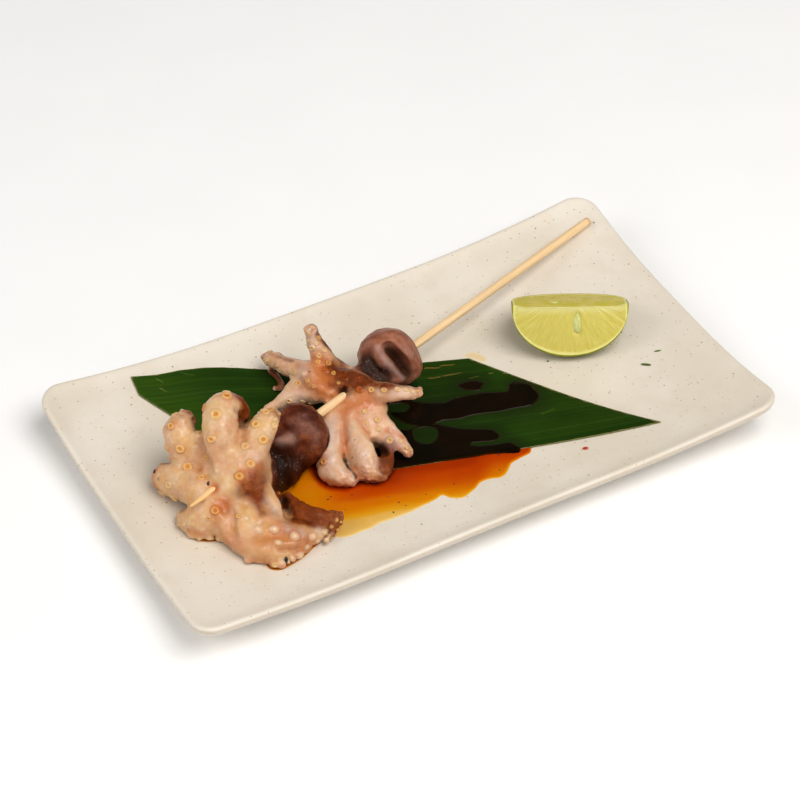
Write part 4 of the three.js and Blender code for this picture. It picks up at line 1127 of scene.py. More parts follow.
def build_lime(material):
    ax = np.array([LIME["axis"][0], LIME["axis"][1], 0.0])
    ax /= np.linalg.norm(ax)
    near = np.array([ax[1], -ax[0], 0.0])
    up = np.cross(near, ax)
    cx, cy = LIME["middle"]
    centre = np.array([cx, cy, float(well(cx, cy)) + LIME["radius"] + GAP])
    H, R = LIME["half"], LIME["radius"]

    def place(r, phi, y):
        """phi: 0 straight down, positive towards the near side, in degrees."""
        a = np.radians(phi)
        return centre + (r * np.sin(a))[..., None] * near - (r * np.cos(a))[..., None] * up + y[..., None] * ax

    NT = 150
    tt = np.linspace(-np.pi / 2, np.pi / 2, NT)
    full = np.maximum(np.cos(tt), 0)

    def reach(phi):
        """The wedge's far edge is blunter at its ends than its near one."""
        k = smooth01((phi + 60.0) / 70.0)
        return R * full ** (0.5 + 0.36 * k)

    ys = H * np.sin(tt)
    phi_front, phi_back = 90 - LIME["front"], -(90 - LIME["back"])
    # the outer skin
    NP = 70
    ph = np.linspace(phi_back, phi_front, NP)
    T_, P_ = np.meshgrid(np.arange(NT), ph, indexing="ij")
    skin_r = np.stack([reach(p_) for p_ in ph], 1)
    V1 = place(skin_r, P_, ys[T_] + 0 * P_)
    dimple = 0.07 * np.minimum(noise(V1, 1.3, 3), 0.2) + 0.12 * noise(V1, 9, 5)
    edge = np.minimum(P_ - phi_back, phi_front - P_) * np.pi / 180 * skin_r
    mid = place(skin_r * 0, P_, ys[T_] + 0 * P_)
    outn = V1 - mid
    outn /= np.maximum(np.linalg.norm(outn, axis=-1, keepdims=True), 1e-6)
    V1 = V1 + outn * (dimple * smooth01(edge / 1.5))[..., None]
    F1 = grid_faces(NT, NP)
    # a cut face: rows along the core's line, columns out to the skin
    def face(phi, seed):
        NR = 90
        prof = reach(phi)
        rs = np.linspace(0, 1, NR)
        T2, S2 = np.meshgrid(np.arange(NT), rs, indexing="ij")
        r = prof[T2] * S2
        y = ys[T2] + 0 * S2
        P = place(r, np.full(r.shape, phi), y)
        a = np.radians(phi)
        nrm = np.cos(a) * near + np.sin(a) * up
        if phi < 0:
            nrm = -nrm
        # distance from the skin, and juice cells that run from the core to it
        from_skin = np.minimum(prof[T2] - r, (H - np.abs(y)) * 1.15)
        from_skin = np.where(T2 < 1, 0, from_skin)
        from_skin = np.where(T2 > NT - 2, 0, from_skin)
        q_ang = np.arctan2(y, r + 9.0)
        q_rad = np.hypot(y, r + 9.0)
        cells = noise(np.stack([q_ang * 26, q_rad / 5.5, 0 * r + seed], -1), 1.0, seed)
        cells2 = noise(np.stack([q_ang * 60, q_rad / 2.6, 0 * r + seed], -1), 1.0, seed + 1)
        pulp = smooth01((from_skin - 1.2) / 1.0)
        bump = pulp * (0.2 * cells + 0.09 * cells2) - 0.22 * pulp
        bump = bump * smooth01(r / 1.2)
        P = P + nrm * bump[..., None]
        return P, from_skin, q_ang, q_rad, nrm, r, y

    Pf, sf, af, rf, nf, r_f, y_f = face(phi_front, 11)
    Pb, sb, ab_, rb, nb, r_b, y_b = face(phi_back, 17)
    blocks = [V1.reshape(-1, 3), Pf.reshape(-1, 3), Pb.reshape(-1, 3)]
    offs = [0, len(blocks[0]), len(blocks[0]) + len(blocks[1])]
    NR = Pf.shape[1]
    F2 = grid_faces(NT, NR, offset=offs[1])
    F3 = grid_faces(NT, NR, offset=offs[2])
    V = np.vstack(blocks)

    def turned(F, out):
        n = np.cross(V[F[:, 2]] - V[F[:, 0]], V[F[:, 3]] - V[F[:, 1]])
        return F[:, ::-1] if (n * out).sum() < 0 else F

    out1 = np.tile((outn.reshape(-1, 3))[F1[:, 0]], (1, 1))
    F1 = turned(F1, out1)
    F2 = turned(F2, nf)
    F3 = turned(F3, nb)
    # the wedge has settled a little on its rounded back
    floor_z = float(well(cx, cy)) + GAP
    V[:, 2] = floor_z + (V[:, 2] - floor_z) * 0.92
    behind = np.maximum(-((V - centre) @ near), 0)
    V = V + near * (behind * 0.06)[:, None]
    r_all = np.concatenate([np.full(len(blocks[0]), R), r_f.ravel(), r_b.ravel()])
    V[:, 2] -= 1.5 * (1 - np.minimum(r_all / 12.0, 1)) ** 2 * smooth01((H - np.abs((V - centre) @ ax)) / 6.0)
    zero = np.zeros(len(blocks[0]))
    skin = np.concatenate([np.ones(len(blocks[0])), np.zeros(2 * NT * NR)])
    dist = np.concatenate([zero, sf.ravel(), sb.ravel()])
    co = np.concatenate([np.zeros((len(blocks[0]), 3)), np.stack([af * 26, rf / 5.5, 0 * af + 1], -1).reshape(-1, 3), np.stack([ab_ * 26, rb / 5.5, 0 * ab_ + 7], -1).reshape(-1, 3)])
    core = np.concatenate([zero + 9, r_f.ravel(), r_b.ravel()])
    backface = np.concatenate([zero, np.zeros(NT * NR), np.ones(NT * NR)])
    V, quads, tris, attrs = weld(V, np.concatenate([F1, F2, F3]), {"skin": skin, "inner": dist, "pulpco": co, "core": core, "upper": backface})
    hits = Hits(V, quads)
    # a cut pip's hollow on the near face and two small ones on the upper face
    N = vertex_normals(V, quads)
    for u0, v0, u1, v1, radius, depth in ((577, 316, 577.5, 331, 1.7, -0.85), (553, 302, 557, 302.5, 1.0, -0.9), (592, 300.5, 594, 300.5, 0.8, -0.5)):
        V = carve(V, N, hits, [(u0, v0, u1, v1, radius, depth)])
    wedge = piece("lime_quarter", V, [quads, tris], material, attrs)
    return wedge, Hits(V, quads)


def build_pips(material, hits):
    """The pip in the near cut face and what shows of one in the upper face."""
    items = []
    for u0, v0, u1, v1, half, wide, thick in ((577.6, 333.5, 576.8, 313.0, 4.3, 1.75, 0.85), (551.5, 303.0, 559, 302.4, 1.5, 0.8, 0.5)):
        a, _ = hits.pixel(u0, v0)
        b, _ = hits.pixel(u1, v1)
        c, n = hits.pixel((u0 + u1) / 2, (v0 + v1) / 2)
        x = (b - a) / np.linalg.norm(b - a)
        n = n - (n @ x) * x
        n /= np.linalg.norm(n)
        items.append((c + n * thick * 0.25, x * half, np.cross(n, x) * wide, n * thick))
    V0, Q, T = unit_ball(22, 15)
    # almond: the ball's poles lie along x, and one end is drawn out
    V0 = V0[:, [2, 0, 1]]
    s_ = V0[:, :1]
    V0 = np.hstack([s_, V0[:, 1:] * (1 - 0.28 * s_ - 0.1 * s_**2)])
    return lumps("lime_pips", items, (V0, Q, T), material)


# ------------------------------------------------------------------ sauce
def pool_mesh(outlines, surface, depth, edge_w, cell, holes=(), ripple=0.0, seed=0, sink=0.45):
    """A closed thin body of liquid lying on a surface, from plan outlines.
    It is rounded at its edge, and its underside is a little way into what it
    lies on."""
    pts = np.vstack(outlines)
    lo, hi = pts.min(0) - 1.5, pts.max(0) + 1.5
    nx, ny = (np.ceil((hi - lo) / cell) + 1).astype(int)
    X, Y = np.meshgrid(lo[0] + cell * np.arange(nx), lo[1] + cell * np.arange(ny), indexing="ij")
    sd = np.full(X.shape, 1e9)
    for o in outlines:
        sd = np.minimum(sd, polygon_distance(X, Y, o))
    wob = np.stack([X, Y, 0 * X], -1)
    sd = sd + ripple * noise(wob, 4.2, seed) + 0.4 * ripple * noise(wob, 1.6, seed + 1)
    for o in holes:
        sd = np.maximum(sd, -polygon_distance(X, Y, o))
    inside = -sd
    h = np.where(inside > 0, depth * (1 - np.exp(-np.maximum(inside, 0) / edge_w)), inside * 0.9)
    h = np.maximum(h, -sink * 0.7)
    base = surface(X, Y)
    keep = sd < cell * 1.2
    quad = keep[:-1, :-1] & keep[1:, :-1] & keep[1:, 1:] & keep[:-1, 1:]
    F = grid_faces(nx, ny)[quad.ravel()]
    n = nx * ny
    top = np.stack([X, Y, base + h], -1).reshape(-1, 3)
    low = np.stack([X, Y, base - sink], -1).reshape(-1, 3)
    # the border edges are those used by one face
    e = np.concatenate([F[:, [0, 1]], F[:, [1, 2]], F[:, [2, 3]], F[:, [3, 0]]])
    key = np.sort(e, 1)
    code = key[:, 0].astype(np.int64) * n + key[:, 1]
    _, first, counts = np.unique(code, return_index=True, return_counts=True)
    edge = e[first[counts == 1]]
    walls = np.stack([edge[:, 1], edge[:, 0], edge[:, 0] + n, edge[:, 1] + n], 1)
    quads = np.concatenate([F, F[:, ::-1] + n, walls])
    V = np.vstack([top, low])
    used = np.unique(quads)
    remap = np.full(len(V), -1)
    remap[used] = np.arange(len(used))
    V, quads = V[used], remap[quads]
    nrm = vertex_normals(V, remap[F])
    if nrm[:, 2].sum() < 0:
        quads = quads[:, ::-1]
    thick = np.concatenate([np.maximum(inside, 0).ravel()] * 2)[used]
    return V, quads, thick


def plan(pixels, leaf=True, n=5):
    """A smooth closed plan outline from pixels of the picture."""
    p = np.array([on_rest(u, v, 0.1, leaf)[:2] for u, v in pixels])
    return spline(p, n, closed=True)


def build_sauce(amber_mat, dark_mat, seep_mat):
    # the amber pool on the plate, from under the leaf out to its ragged edge
    amber = plan([
        (531, 450), (528, 454), (523, 456.5), (516, 460), (511, 464), (508, 470), (505.5, 474), (500, 477.5), (494, 478), (488, 479), (483, 481), (480, 483),
        (476, 488), (472, 491.5), (467, 496), (461, 498.5), (455, 498.5), (450, 497.5), (445, 495.5), (441, 495.5), (436, 499), (429, 503), (423, 506), (417, 509), (409, 513),
        (400, 516), (391, 519.5), (380, 523), (371, 528), (361, 532), (350, 536), (338, 537.5), (329, 534), (322, 528), (312, 520), (300, 512), (286, 500), (278, 490), (284, 478), (300, 464),
        (330, 448), (400, 440), (480, 428), (528, 436),
    ], leaf=False)
    V, F, thick = pool_mesh([amber], well, 0.55, 1.1, 0.42, ripple=0.22, seed=5)
    x, y = V[:, 0], V[:, 1]
    # depth of colour: deepest along the leaf's edge and to the right, thin and
    # golden towards the near side and the left
    e = np.array(LEAF["near_right"]) - np.array(LEAF["near_left"])
    e = e / np.linalg.norm(e)
    n = np.array([e[1], -e[0]])

    def depth_at(x, y):
        rel = np.stack([x, y], 1) - np.array(LEAF["near_left"])
        out = rel @ n
        run = rel @ e
        left = smooth01((run - 4) / 22)
        out = out + 6 * smooth01((run - 70) / 12)
        deep = 0.36 + left * (0.30 * smooth01((20 - out) / 12) + 0.14 * smooth01((9 - out) / 7))
        deep = deep + 0.05 * noise(np.stack([x, y, 0 * x], 1), 13, 4) + 0.035 * noise(np.stack([run / 5, out, 0 * x], 1), 3.0, 6)
        return deep * (1 - 0.65 * smooth01((rel @ n - 18) / 10))

    deep = np.clip(depth_at(x, y) * (0.5 + 0.5 * smooth01(thick / 1.5)), 0, 1)
    # painted shadow: the pool is darker along the back octopus's foot, where its shadow falls
    foot = np.array([on_rest(u, v, 0.1, False)[:2] for u, v in ((312, 466), (316, 475), (323, 484), (332, 488), (345, 489), (354, 485), (362, 482), (374, 483), (385, 479), (391, 468))])

    def painted_foot_shadow(x, y):
        near = np.full(len(x), 1e9)
        P = np.stack([x, y], 1)
        for p0, p1 in zip(foot[:-1], foot[1:]):
            d = p1 - p0
            t = np.clip(((P - p0) @ d) / (d @ d), 0, 1)
            near = np.minimum(near, np.linalg.norm(P - (p0 + t[:, None] * d), axis=1))
        return 0.34 * smooth01(1 - near / 3.4)

    deep = np.clip(deep + painted_foot_shadow(x, y), 0, 1)
    pool = piece("sauce_amber", V, F, amber_mat, {"deep": deep, "depth": thick})

    # where the pool has run up over the leaf's edge
    over = plan([(288, 500), (293, 487), (300, 476), (305, 467), (311, 459), (320, 456), (328, 462), (330, 474), (328, 488), (322, 500), (305, 506)])
    lift = lambda x, y: well(x, y) + (GAP + LEAF_T + 0.16) * smooth01((7.5 - polygon_distance(x, y, LEAF_POLY)) / 7.5)
    V, F, thick = pool_mesh([over], lift, 0.34, 0.8, 0.36, ripple=0.12, seed=15)
    # the same painted shadow of the foot, stronger here
    deep = np.clip(depth_at(V[:, 0], V[:, 1]) + 1.4 * painted_foot_shadow(V[:, 0], V[:, 1]), 0, 1)
    piece("sauce_amber_over", V, F, amber_mat, {"deep": deep, "depth": thick})

    # thin brown sauce that creeps out from under the front octopus
    strips = [
        plan([(183, 529), (189, 535.5), (197, 540.5), (208, 542), (221, 541.5), (230, 544.5), (236, 549.5), (236, 540), (215, 532), (195, 526)], False),
        plan([(263, 560), (268, 567.5), (274, 570.2), (281, 570), (291, 565.5), (300, 560), (308, 553.5), (315, 547), (320, 542), (314, 536), (300, 544), (282, 556), (270, 558)], False),
    ]
    V, F, thick = pool_mesh(strips, well, 0.32, 0.5, 0.3, ripple=0.12, seed=9)
    brown = 0.66 - 0.36 * smooth01(1 - thick / 0.7) + 0.08 * noise(V, 3, 3)
    seep = piece("sauce_seep", V, F, seep_mat, {"deep": brown, "depth": thick})

    # a dried stain beside the leaf's far corner
    stain = [plan([(461, 357), (466, 353), (473, 351.5), (480, 353), (487, 356), (489, 360), (484, 363), (476, 361), (468, 359)], False)]
    V, F, thick = pool_mesh(stain, well, 0.05, 1.6, 0.4, ripple=0.25, seed=12, sink=0.3)
    mark = piece("sauce_stain", V, F, amber_mat, {"deep": 0.045 * smooth01(thick / 2.0), "depth": thick})

    # dark glossy sauce on the leaf, with bare green islands in it
    on_leaf = lambda x, y: well(x, y) + GAP + LEAF_T + 0.12
    dark = [plan(outline) for outline in DARK_SAUCE]
    holes = [
        plan([(412.5, 431), (416, 428.6), (424, 427.2), (432, 427.6), (437, 429.6), (438, 434), (436, 439.5), (430, 443.2), (422, 443.2), (415, 439.5)]),
        plan([(388, 405), (395, 403.6), (403, 403.4), (409, 405), (408.6, 409), (404, 411.6), (396, 411.8), (390, 410.6)]),
        plan([(396, 424), (402, 423), (409, 424.4), (412, 426.4), (408, 428), (400, 428)]),
    ]
    V, F, thick = pool_mesh(dark, on_leaf, 0.42, 0.55, 0.36, holes=holes, ripple=0.16, seed=21, sink=0.3)
    # nothing hangs over the leaf's edge
    inside = -polygon_distance(V[:, 0], V[:, 1], LEAF_POLY)
    floor = well(V[:, 0], V[:, 1]) + GAP + 0.3
    V[:, 2] = np.where(inside < 0.3, np.minimum(V[:, 2], floor + np.maximum(inside + 1.0, 0) * 0.6), V[:, 2])
    spread = piece("sauce_dark", V, F, dark_mat, {"depth": thick, "drip": smooth01(1 - (inside - 0.4) / 1.6)})
    return pool, seep, mark, spread


# ------------------------------------------------------------------ garnish
def lumps(name, items, shape, material, attrs=None):
    """Several small solids of one kind as one piece. An item is (centre,
    x axis, y axis, z axis) in mm; shape gives a closed unit mesh."""
    V0, Q, T = shape
    VV, QQ, TT, tone = [], [], [], []
    for k, (c, ax, ay, az) in enumerate(items):
        off = k * len(V0)
        P = c + V0[:, :1] * ax + V0[:, 1:2] * ay + V0[:, 2:] * az
        P = P + 0.06 * np.linalg.norm(ax) * np.stack([noise(V0 * 1.6 + k * 7, 1.0, s) for s in (1, 2, 3)], 1)
        VV.append(P)
        QQ.append(Q + off)
        TT.append(T + off)
        tone.append(np.full(len(V0), (k * 0.61803) % 1))
    return piece(name, np.vstack(VV), [np.concatenate(QQ), np.concatenate(TT)], material, {"tone": np.concatenate(tone), **(attrs or {})})


def unit_ball(nu=14, nv=9, power=1.0):
    th = np.linspace(0, np.pi, nv + 2)[1:-1]
    ph = np.arange(nu) / nu * 2 * np.pi
    T_, P_ = np.meshgrid(th, ph, indexing="ij")
    V = np.stack([np.sin(T_) * np.cos(P_), np.sin(T_) * np.sin(P_), np.cos(T_)], -1).reshape(-1, 3)
    V = np.sign(V) * np.abs(V) ** power
    V = np.vstack([V, [0, 0, 1], [0, 0, -1]])
    i = np.arange(nu)
    Q = grid_faces(nv, nu, wrap_v=True)
    T = np.concatenate([np.stack([np.full(nu, nv * nu), i, (i + 1) % nu], 1), np.stack([np.full(nu, nv * nu + 1), (nv - 1) * nu + (i + 1) % nu, (nv - 1) * nu + i], 1)])
    return V, Q, T


def unit_leaf(n=12, m=5):
    """A thin herb cutting, pointed at both ends and a little curled."""
    s = np.linspace(-1, 1, n)
    t = np.linspace(-1, 1, m)
    S, T = np.meshgrid(s, t, indexing="ij")
    wid = np.sqrt(np.maximum(1 - S**2, 0)) * (0.85 + 0.15 * S) + 0.03
    x, y = S, T * wid
    z = 0.35 * S**2 + 0.5 * (T * wid) ** 2
    up = np.stack([x, y, z + 0.25], -1).reshape(-1, 3)
    dn = np.stack([x, y, z - 0.25], -1).reshape(-1, 3)
    V = np.vstack([up, dn])
    k = n * m
    idx = np.arange(k).reshape(n, m)
    b = np.concatenate([idx[:, 0], idx[-1, 1:], idx[-2::-1, -1], idx[0, -2:0:-1]])
    nx = np.roll(b, -1)
    Q = np.concatenate([grid_faces(n, m), grid_faces(n, m, offset=k)[:, ::-1], np.stack([b, b + k, nx + k, nx], 1)])
    return V, Q, np.zeros((0, 3), int)


def frame_on(p, n, turn, a, b, c):
    n = n / np.linalg.norm(n)
    x = RIGHT * math.cos(turn) + np.cross(n, RIGHT) * math.sin(turn)
    x = x - (x @ n) * n
    x /= np.linalg.norm(x)
    y = np.cross(n, x)
    return p + n * c * 0.7, x * a, y * b, n * c


def build_garnish(mats, hits_front, hits_back):
    up = np.array([0, 0, 1.0])
    pl = lambda u, v, h=0.0: on_rest(u, v, h)
    # black sesame-like seeds on the flesh
    seeds = []
    for u, v, turn, size in ((208.3, 483.5, 1.5, 0.95), (154.9, 471.5, 0.9, 0.95), (285.3, 560.0, 1.5, 1.5), (251.1, 481.4, 0.4, 0.42)):
        p, n = hits_front.pixel(u, v)
        if p is not None:
            seeds.append(frame_on(p, n, turn, size, size * 0.55, size * 0.42))
    for u, v, turn, size in ((355.0, 440.0, 0.3, 0.3), (352.5, 457.5, 0.8, 0.35), (366, 455, 0.2, 0.25)):
        p, n = hits_back.pixel(u, v)
        if p is not None:
            seeds.append(frame_on(p, n, turn, size, size * 0.7, size * 0.5))
    lumps("seeds_black", seeds, unit_ball(), mats["seed"])
    # dark pepper grains in the amber pool and on the plate
    grains = []
    for u, v, s in ((499, 455, 0.62), (499.5, 470, 0.4), (454, 484, 0.5), (426, 494.5, 0.42), (399, 502.5, 0.55), (406, 505.5, 0.4), (393.5, 512.5, 0.5), (388, 497, 0.35), (417.5, 487, 0.3), (364, 471, 0.4), (331, 497, 0.5),
                    (328, 499.5, 0.55), (352, 495, 0.45), (372, 490, 0.3), (445, 506, 0.32), (462, 474, 0.3), (521, 446, 0.35), (474, 461, 0.3), (346, 510, 0.32)):
        p = on_rest(u, v, 0.55, False)
        grains.append(frame_on(p, up, (u * 7.3) % 3, s * 0.8, s * 0.6, s * 0.35))
    lumps("pepper_grains", grains, unit_ball(10, 6), mats["pepper"])
    # herb cuttings
    herbs = []
    for u, v, turn, a, b in ((645.9, 365.0, -0.15, 2.2, 0.75), (657.5, 351.3, 0.2, 1.6, 0.45), (547.8, 361.6, 0.5, 0.6, 0.28)):
        p = pl(u, v)
        herbs.append(frame_on(p, up, turn, a, b, 0.3))
    lumps("herb_cuttings", herbs, unit_leaf(), mats["herb"])
    chilli = []
    for u, v, turn, a, b in ((585.3, 448.8, 0.1, 1.25, 0.8), (393, 512.6, 0.4, 0.5, 0.35)):
        chilli.append(frame_on(pl(u, v, 0.1), up, turn, a, b, 0.35))
    for u, v, turn, a, b in ((237.5, 420.5, 1.2, 0.6, 0.5), (310, 372, 0.2, 0.4, 0.3)):
        h = hits_front if u < 250 else hits_back
        p, n = h.pixel(u, v)
        if p is not None:
            chilli.append(frame_on(p, n, turn, a, b, 0.3))
    lumps("chilli_flakes", chilli, unit_leaf(9, 4), mats["chilli"])


# ------------------------------------------------------------------ materials
def make_materials():
    M = {}
    # stoneware: cream satin glaze, warm specks of uneven size
    m = Nodes("stoneware")
    big = m.noise(46, 3, 0.5)
    mid = m.noise(9, 3, 0.6)
    col = m.mix(m.step(big, 0.35, 0.68), lin(230, 221, 207), lin(221, 211, 194))
    col = m.mix(m.step(mid, 0.45, 0.8, 0.0, 0.25), col, lin(209, 195, 172))
    def specks(col, size, share, radius, tone, soft=0.35, seed=0.0):
        v = m.vec("ADD", m.vec("MULTIPLY", m.where, (1000, 1000, 1000)), (seed * 90, seed * 170, seed * 60))
        dist, node = m.cells(size, v)
        node.voronoi_dimensions = "2D"
        rnd = m.nt.nodes.new("ShaderNodeSeparateColor")
        m.nt.links.new(node.outputs["Color"], rnd.inputs[0])
        r = m.step(rnd.outputs[0], 1 - share, 1.0, 0.5 * radius / size, radius / size)
        wob = m.math("MULTIPLY", m.math("SUBTRACT", m.noise(size * 0.12, 2), 0.5), 0.35 * radius / size)
        d = m.math("ADD", dist, wob)
        lo = m.math("MULTIPLY", r, 1 - soft)
        mask = m.step(d, lo, r, 1.0, 0.0)
        gate = m.math("MULTIPLY", mask, m.math("GREATER_THAN", rnd.outputs[0], 1 - share))
        return m.mix(m.math("MULTIPLY", gate, m.step(rnd.outputs[1], 0, 1, 0.3, 0.9)), col, tone)
    col = specks(col, 5.0, 0.28, 0.44, lin(168, 140, 104), 0.5, 0.31)
    col = specks(col, 9.0, 0.34, 0.80, lin(204, 176, 134), 0.7, 0.07)
    col = specks(col, 3.6, 0.20, 0.36, lin(150, 122, 90), 0.5, 0.53)
    col = specks(col, 12.0, 0.34, 0.52, lin(112, 88, 60), 0.5, 0.83)
    # painted shade: the rim's steep outer faces are darker
    col = m.mix(m.math("MULTIPLY", m.attr("side"), 0.8), col, lin(205, 190, 170))
    foot = m.attr("foot")
    col = m.mix(foot, col, lin(206, 188, 160))
    m.set(Base_Color=col, Roughness=m.step(m.noise(7, 3), 0.3, 0.75, 0.36, 0.5), IOR=1.5, Coat_Weight=0.1, Coat_Roughness=0.25)
    m.set(Specular_IOR_Level=0.42)
    h = m.math("ADD", m.math("MULTIPLY", m.noise(14, 2), 1.2), m.math("MULTIPLY", m.noise(1.6, 3), 0.18))
    m.set(Normal=m.bump(h, 0.35, 0.55))
    M["plate"] = m.mat

    # banana leaf
    m = Nodes("banana_leaf")
    co = m.attr("leafco", "Vector")
    sep = m.nt.nodes.new("ShaderNodeSeparateXYZ")
    m.nt.links.new(co, sep.inputs[0])
    comb = m.nt.nodes.new("ShaderNodeCombineXYZ")
    m.put(comb.inputs[0], m.math("MULTIPLY", sep.outputs[0], 0.035))
    m.put(comb.inputs[1], sep.outputs[1])
    streak = m.noise(1.7, 4, 0.65, vector=comb.outputs[0])
    broad = m.noise(12, 3, 0.5, vector=comb.outputs[0])
    patch = m.noise(30, 3)
    patch2 = m.noise(4, 2)
    col = m.mix(m.step(broad, 0.3, 0.7), lin(21, 44, 3), lin(34, 60, 6))
    col = m.mix(m.step(streak, 0.38, 0.72, 0.0, 0.45), col, lin(16, 38, 4))
    col = m.mix(m.step(patch, 0.45, 0.75, 0.0, 0.5), col, lin(34, 64, 8))
    left = m.attr("leftness")
    col = m.mix(m.math("MULTIPLY", left, 0.75), col, m.mix(m.step(streak, 0.3, 0.72), lin(54, 84, 14), lin(38, 64, 9)))
    col = m.mix(m.math("MULTIPLY", m.attr("rib"), 0.3), col, lin(62, 92, 26))
    col = m.mix(m.math("MULTIPLY", m.attr("film"), 0.8), col, lin(22, 36, 6))
    # scratches: short pale lines
    sc = m.nt.nodes.new("ShaderNodeCombineXYZ")
    m.put(sc.inputs[0], m.math("MULTIPLY", sep.outputs[0], 0.08))
    m.put(sc.inputs[1], m.math("MULTIPLY", sep.outputs[1], 1.0))
    scn = m.noise(2.3, 2, 0.4, vector=sc.outputs[0])
    col = m.mix(m.step(scn, 0.735, 0.78, 0.0, 0.3), col, lin(120, 130, 70))
    spot = m.vec("MULTIPLY", m.where, (1000, 1000, 0))
    for (u0, v0), (u1, v1), half, share, tone in LEAF_SCRATCHES:
        a, b = (np.array(on_rest(u, v, 0.1)[:2]) for u, v in ((u0, v0), (u1, v1)))
        d = (b - a) / np.linalg.norm(b - a)
        mid, reach = (a + b) / 2, np.linalg.norm(b - a) / 2
        rel = m.vec("SUBTRACT", spot, (float(mid[0]), float(mid[1]), 0.0))
        lengthwise = m.math("ABSOLUTE", m.vec("DOT_PRODUCT", rel, (float(d[0]), float(d[1]), 0.0), out=1))
        across = m.math("ABSOLUTE", m.math("ADD", m.vec("DOT_PRODUCT", rel, (float(-d[1]), float(d[0]), 0.0), out=1), m.math("MULTIPLY", m.math("SUBTRACT", patch2, 0.5), 1.6)))
        on = m.math("MULTIPLY", m.step(lengthwise, reach * 0.6, reach, 1.0, 0.0), m.step(across, half * 0.3, half, 1.0, 0.0))
        col = m.mix(m.math("MULTIPLY", on, share), col, tone)
    edge = m.attr("edge")
    rimn = m.math("ADD", edge, m.math("MULTIPLY", m.math("SUBTRACT", m.noise(3, 3), 0.5), 1.2))
    col = m.mix(m.step(rimn, 0.1, 0.5, 0.75, 0.0), col, lin(136, 130, 74))
    m.set(Base_Color=col, Roughness=m.step(streak, 0.3, 0.7, 0.36, 0.5), Specular_IOR_Level=0.12)
    hair = m.noise(0.5, 3, 0.6, vector=comb.outputs[0])
    hgt = m.math("ADD", m.math("MULTIPLY", hair, 0.4), m.math("MULTIPLY", streak, 0.8))
    m.set(Normal=m.bump(hgt, 0.14, 0.5))
    M["leaf"] = m.mat

    # bamboo
    m = Nodes("bamboo_stick")
    g = m.attr("grainco", "Vector")
    grain = m.noise(0.55, 4, 0.6, vector=g)
    fibre = m.noise(0.16, 3, 0.6, vector=g)
    al = m.attr("along")
    col = m.ramp(grain, [(0.25, lin(226, 178, 120)), (0.5, lin(242, 207, 156)), (0.75, lin(247, 221, 178))])
    col = m.mix(m.step(fibre, 0.55, 0.75, 0.0, 0.45), col, lin(205, 150, 92))
    col = m.mix(m.step(al, 1.0, 22.0, 0.6, 0.0), col, lin(236, 182, 96))
    col = m.mix(m.step(al, 247.5, 249.6, 0.0, 0.5), col, lin(176, 116, 60))
    m.set(Base_Color=col, Roughness=0.5, Subsurface_Weight=0.08, Subsurface_Scale=0.001)
    m.set(Normal=m.bump(m.math("ADD", grain, fibre), 0.12, 0.5))
    M["bamboo"] = m.mat

    # the ridge tone is a painted highlight, and the fold tone is painted shade with sauce stain
    def flesh(name, pale, cream, pink, yolk, ridge, fold, warm, skin, skin_deep, head_lo, head_mid, head_hi, highlight_paint, dark_skin_and_shade_tone, wet):
        m = Nodes(name)
        n_big = m.noise(11, 3, 0.5)
        n_mid = m.noise(3.4, 4, 0.6)
        n_fine = m.noise(0.9, 3, 0.6)
        n_else = m.noise(7, 3, 0.55, distort=0.6)
        col = m.mix(m.step(n_big, 0.28, 0.72), cream, pink)
        col = m.mix(m.step(n_mid, 0.4, 0.78, 0.0, 0.6), col, pale)
        col = m.mix(m.step(n_else, 0.44, 0.72, 0.0, 0.5), col, yolk)
        # painted shade, with some sauce stain, darkens the folds, and painted highlight makes the ridges pale
        curvature_shade_and_stain = m.math("ADD", m.attr("cavity"), m.math("MULTIPLY", m.math("SUBTRACT", n_mid, 0.5), 0.5))
        col = m.mix(m.step(curvature_shade_and_stain, -0.9, -0.1, 0.55, 0.0), col, ridge)
        col = m.mix(m.step(curvature_shade_and_stain, 0.0, 0.95, 0.0, 0.75), col, fold)
        # warm stains, broken up by the grain of the flesh
        wm = m.math("MULTIPLY", m.attr("warm"), m.math("ADD", 0.55, m.math("MULTIPLY", n_mid, 0.9)))
        col = m.mix(m.step(wm, 0.0, 1.05, 0.0, 0.9), col, warm)
        sk = m.mix(m.step(m.math("ADD", m.math("MULTIPLY", n_fine, 0.35), m.math("MULTIPLY", n_mid, 0.65)), 0.36, 0.64), skin, skin_deep)
        dots, _ = m.cells(1.15)
        dm = m.math("MULTIPLY", m.attr("dorsal"), m.math("ADD", 0.35, m.math("MULTIPLY", n_mid, 1.1)))
        dm = m.math("ADD", dm, m.math("MULTIPLY", m.math("MULTIPLY", m.attr("dorsal"), m.math("SUBTRACT", 0.45, dots)), 0.35))
        col = m.mix(m.step(dm, 0.05, 1.0, 0.0, 0.85), col, sk)
        bm = m.math("MULTIPLY", m.attr("brown"), m.math("ADD", 0.48, m.math("ADD", m.math("MULTIPLY", n_fine, 0.16), m.math("MULTIPLY", n_mid, 0.9))))
        col = m.mix(m.step(bm, 0.06, 0.86, 0.0, 0.97), col, sk)
        # a pale lilac tint of the flesh, partly painted light on fold crests and on an arm that lies in shade
        col = m.mix(m.math("MULTIPLY", m.attr("lilac_tint_and_painted_light"), m.step(n_mid, 0.3, 0.7, 0.35, 0.8)), col, lin(222, 200, 190))
        # knobbly ends
        tm = m.math("MULTIPLY", m.attr("tip"), m.step(m.noise(1.5, 3), 0.36, 0.66))
        col = m.mix(m.math("MULTIPLY", tm, 0.6), col, lin(176, 112, 72))
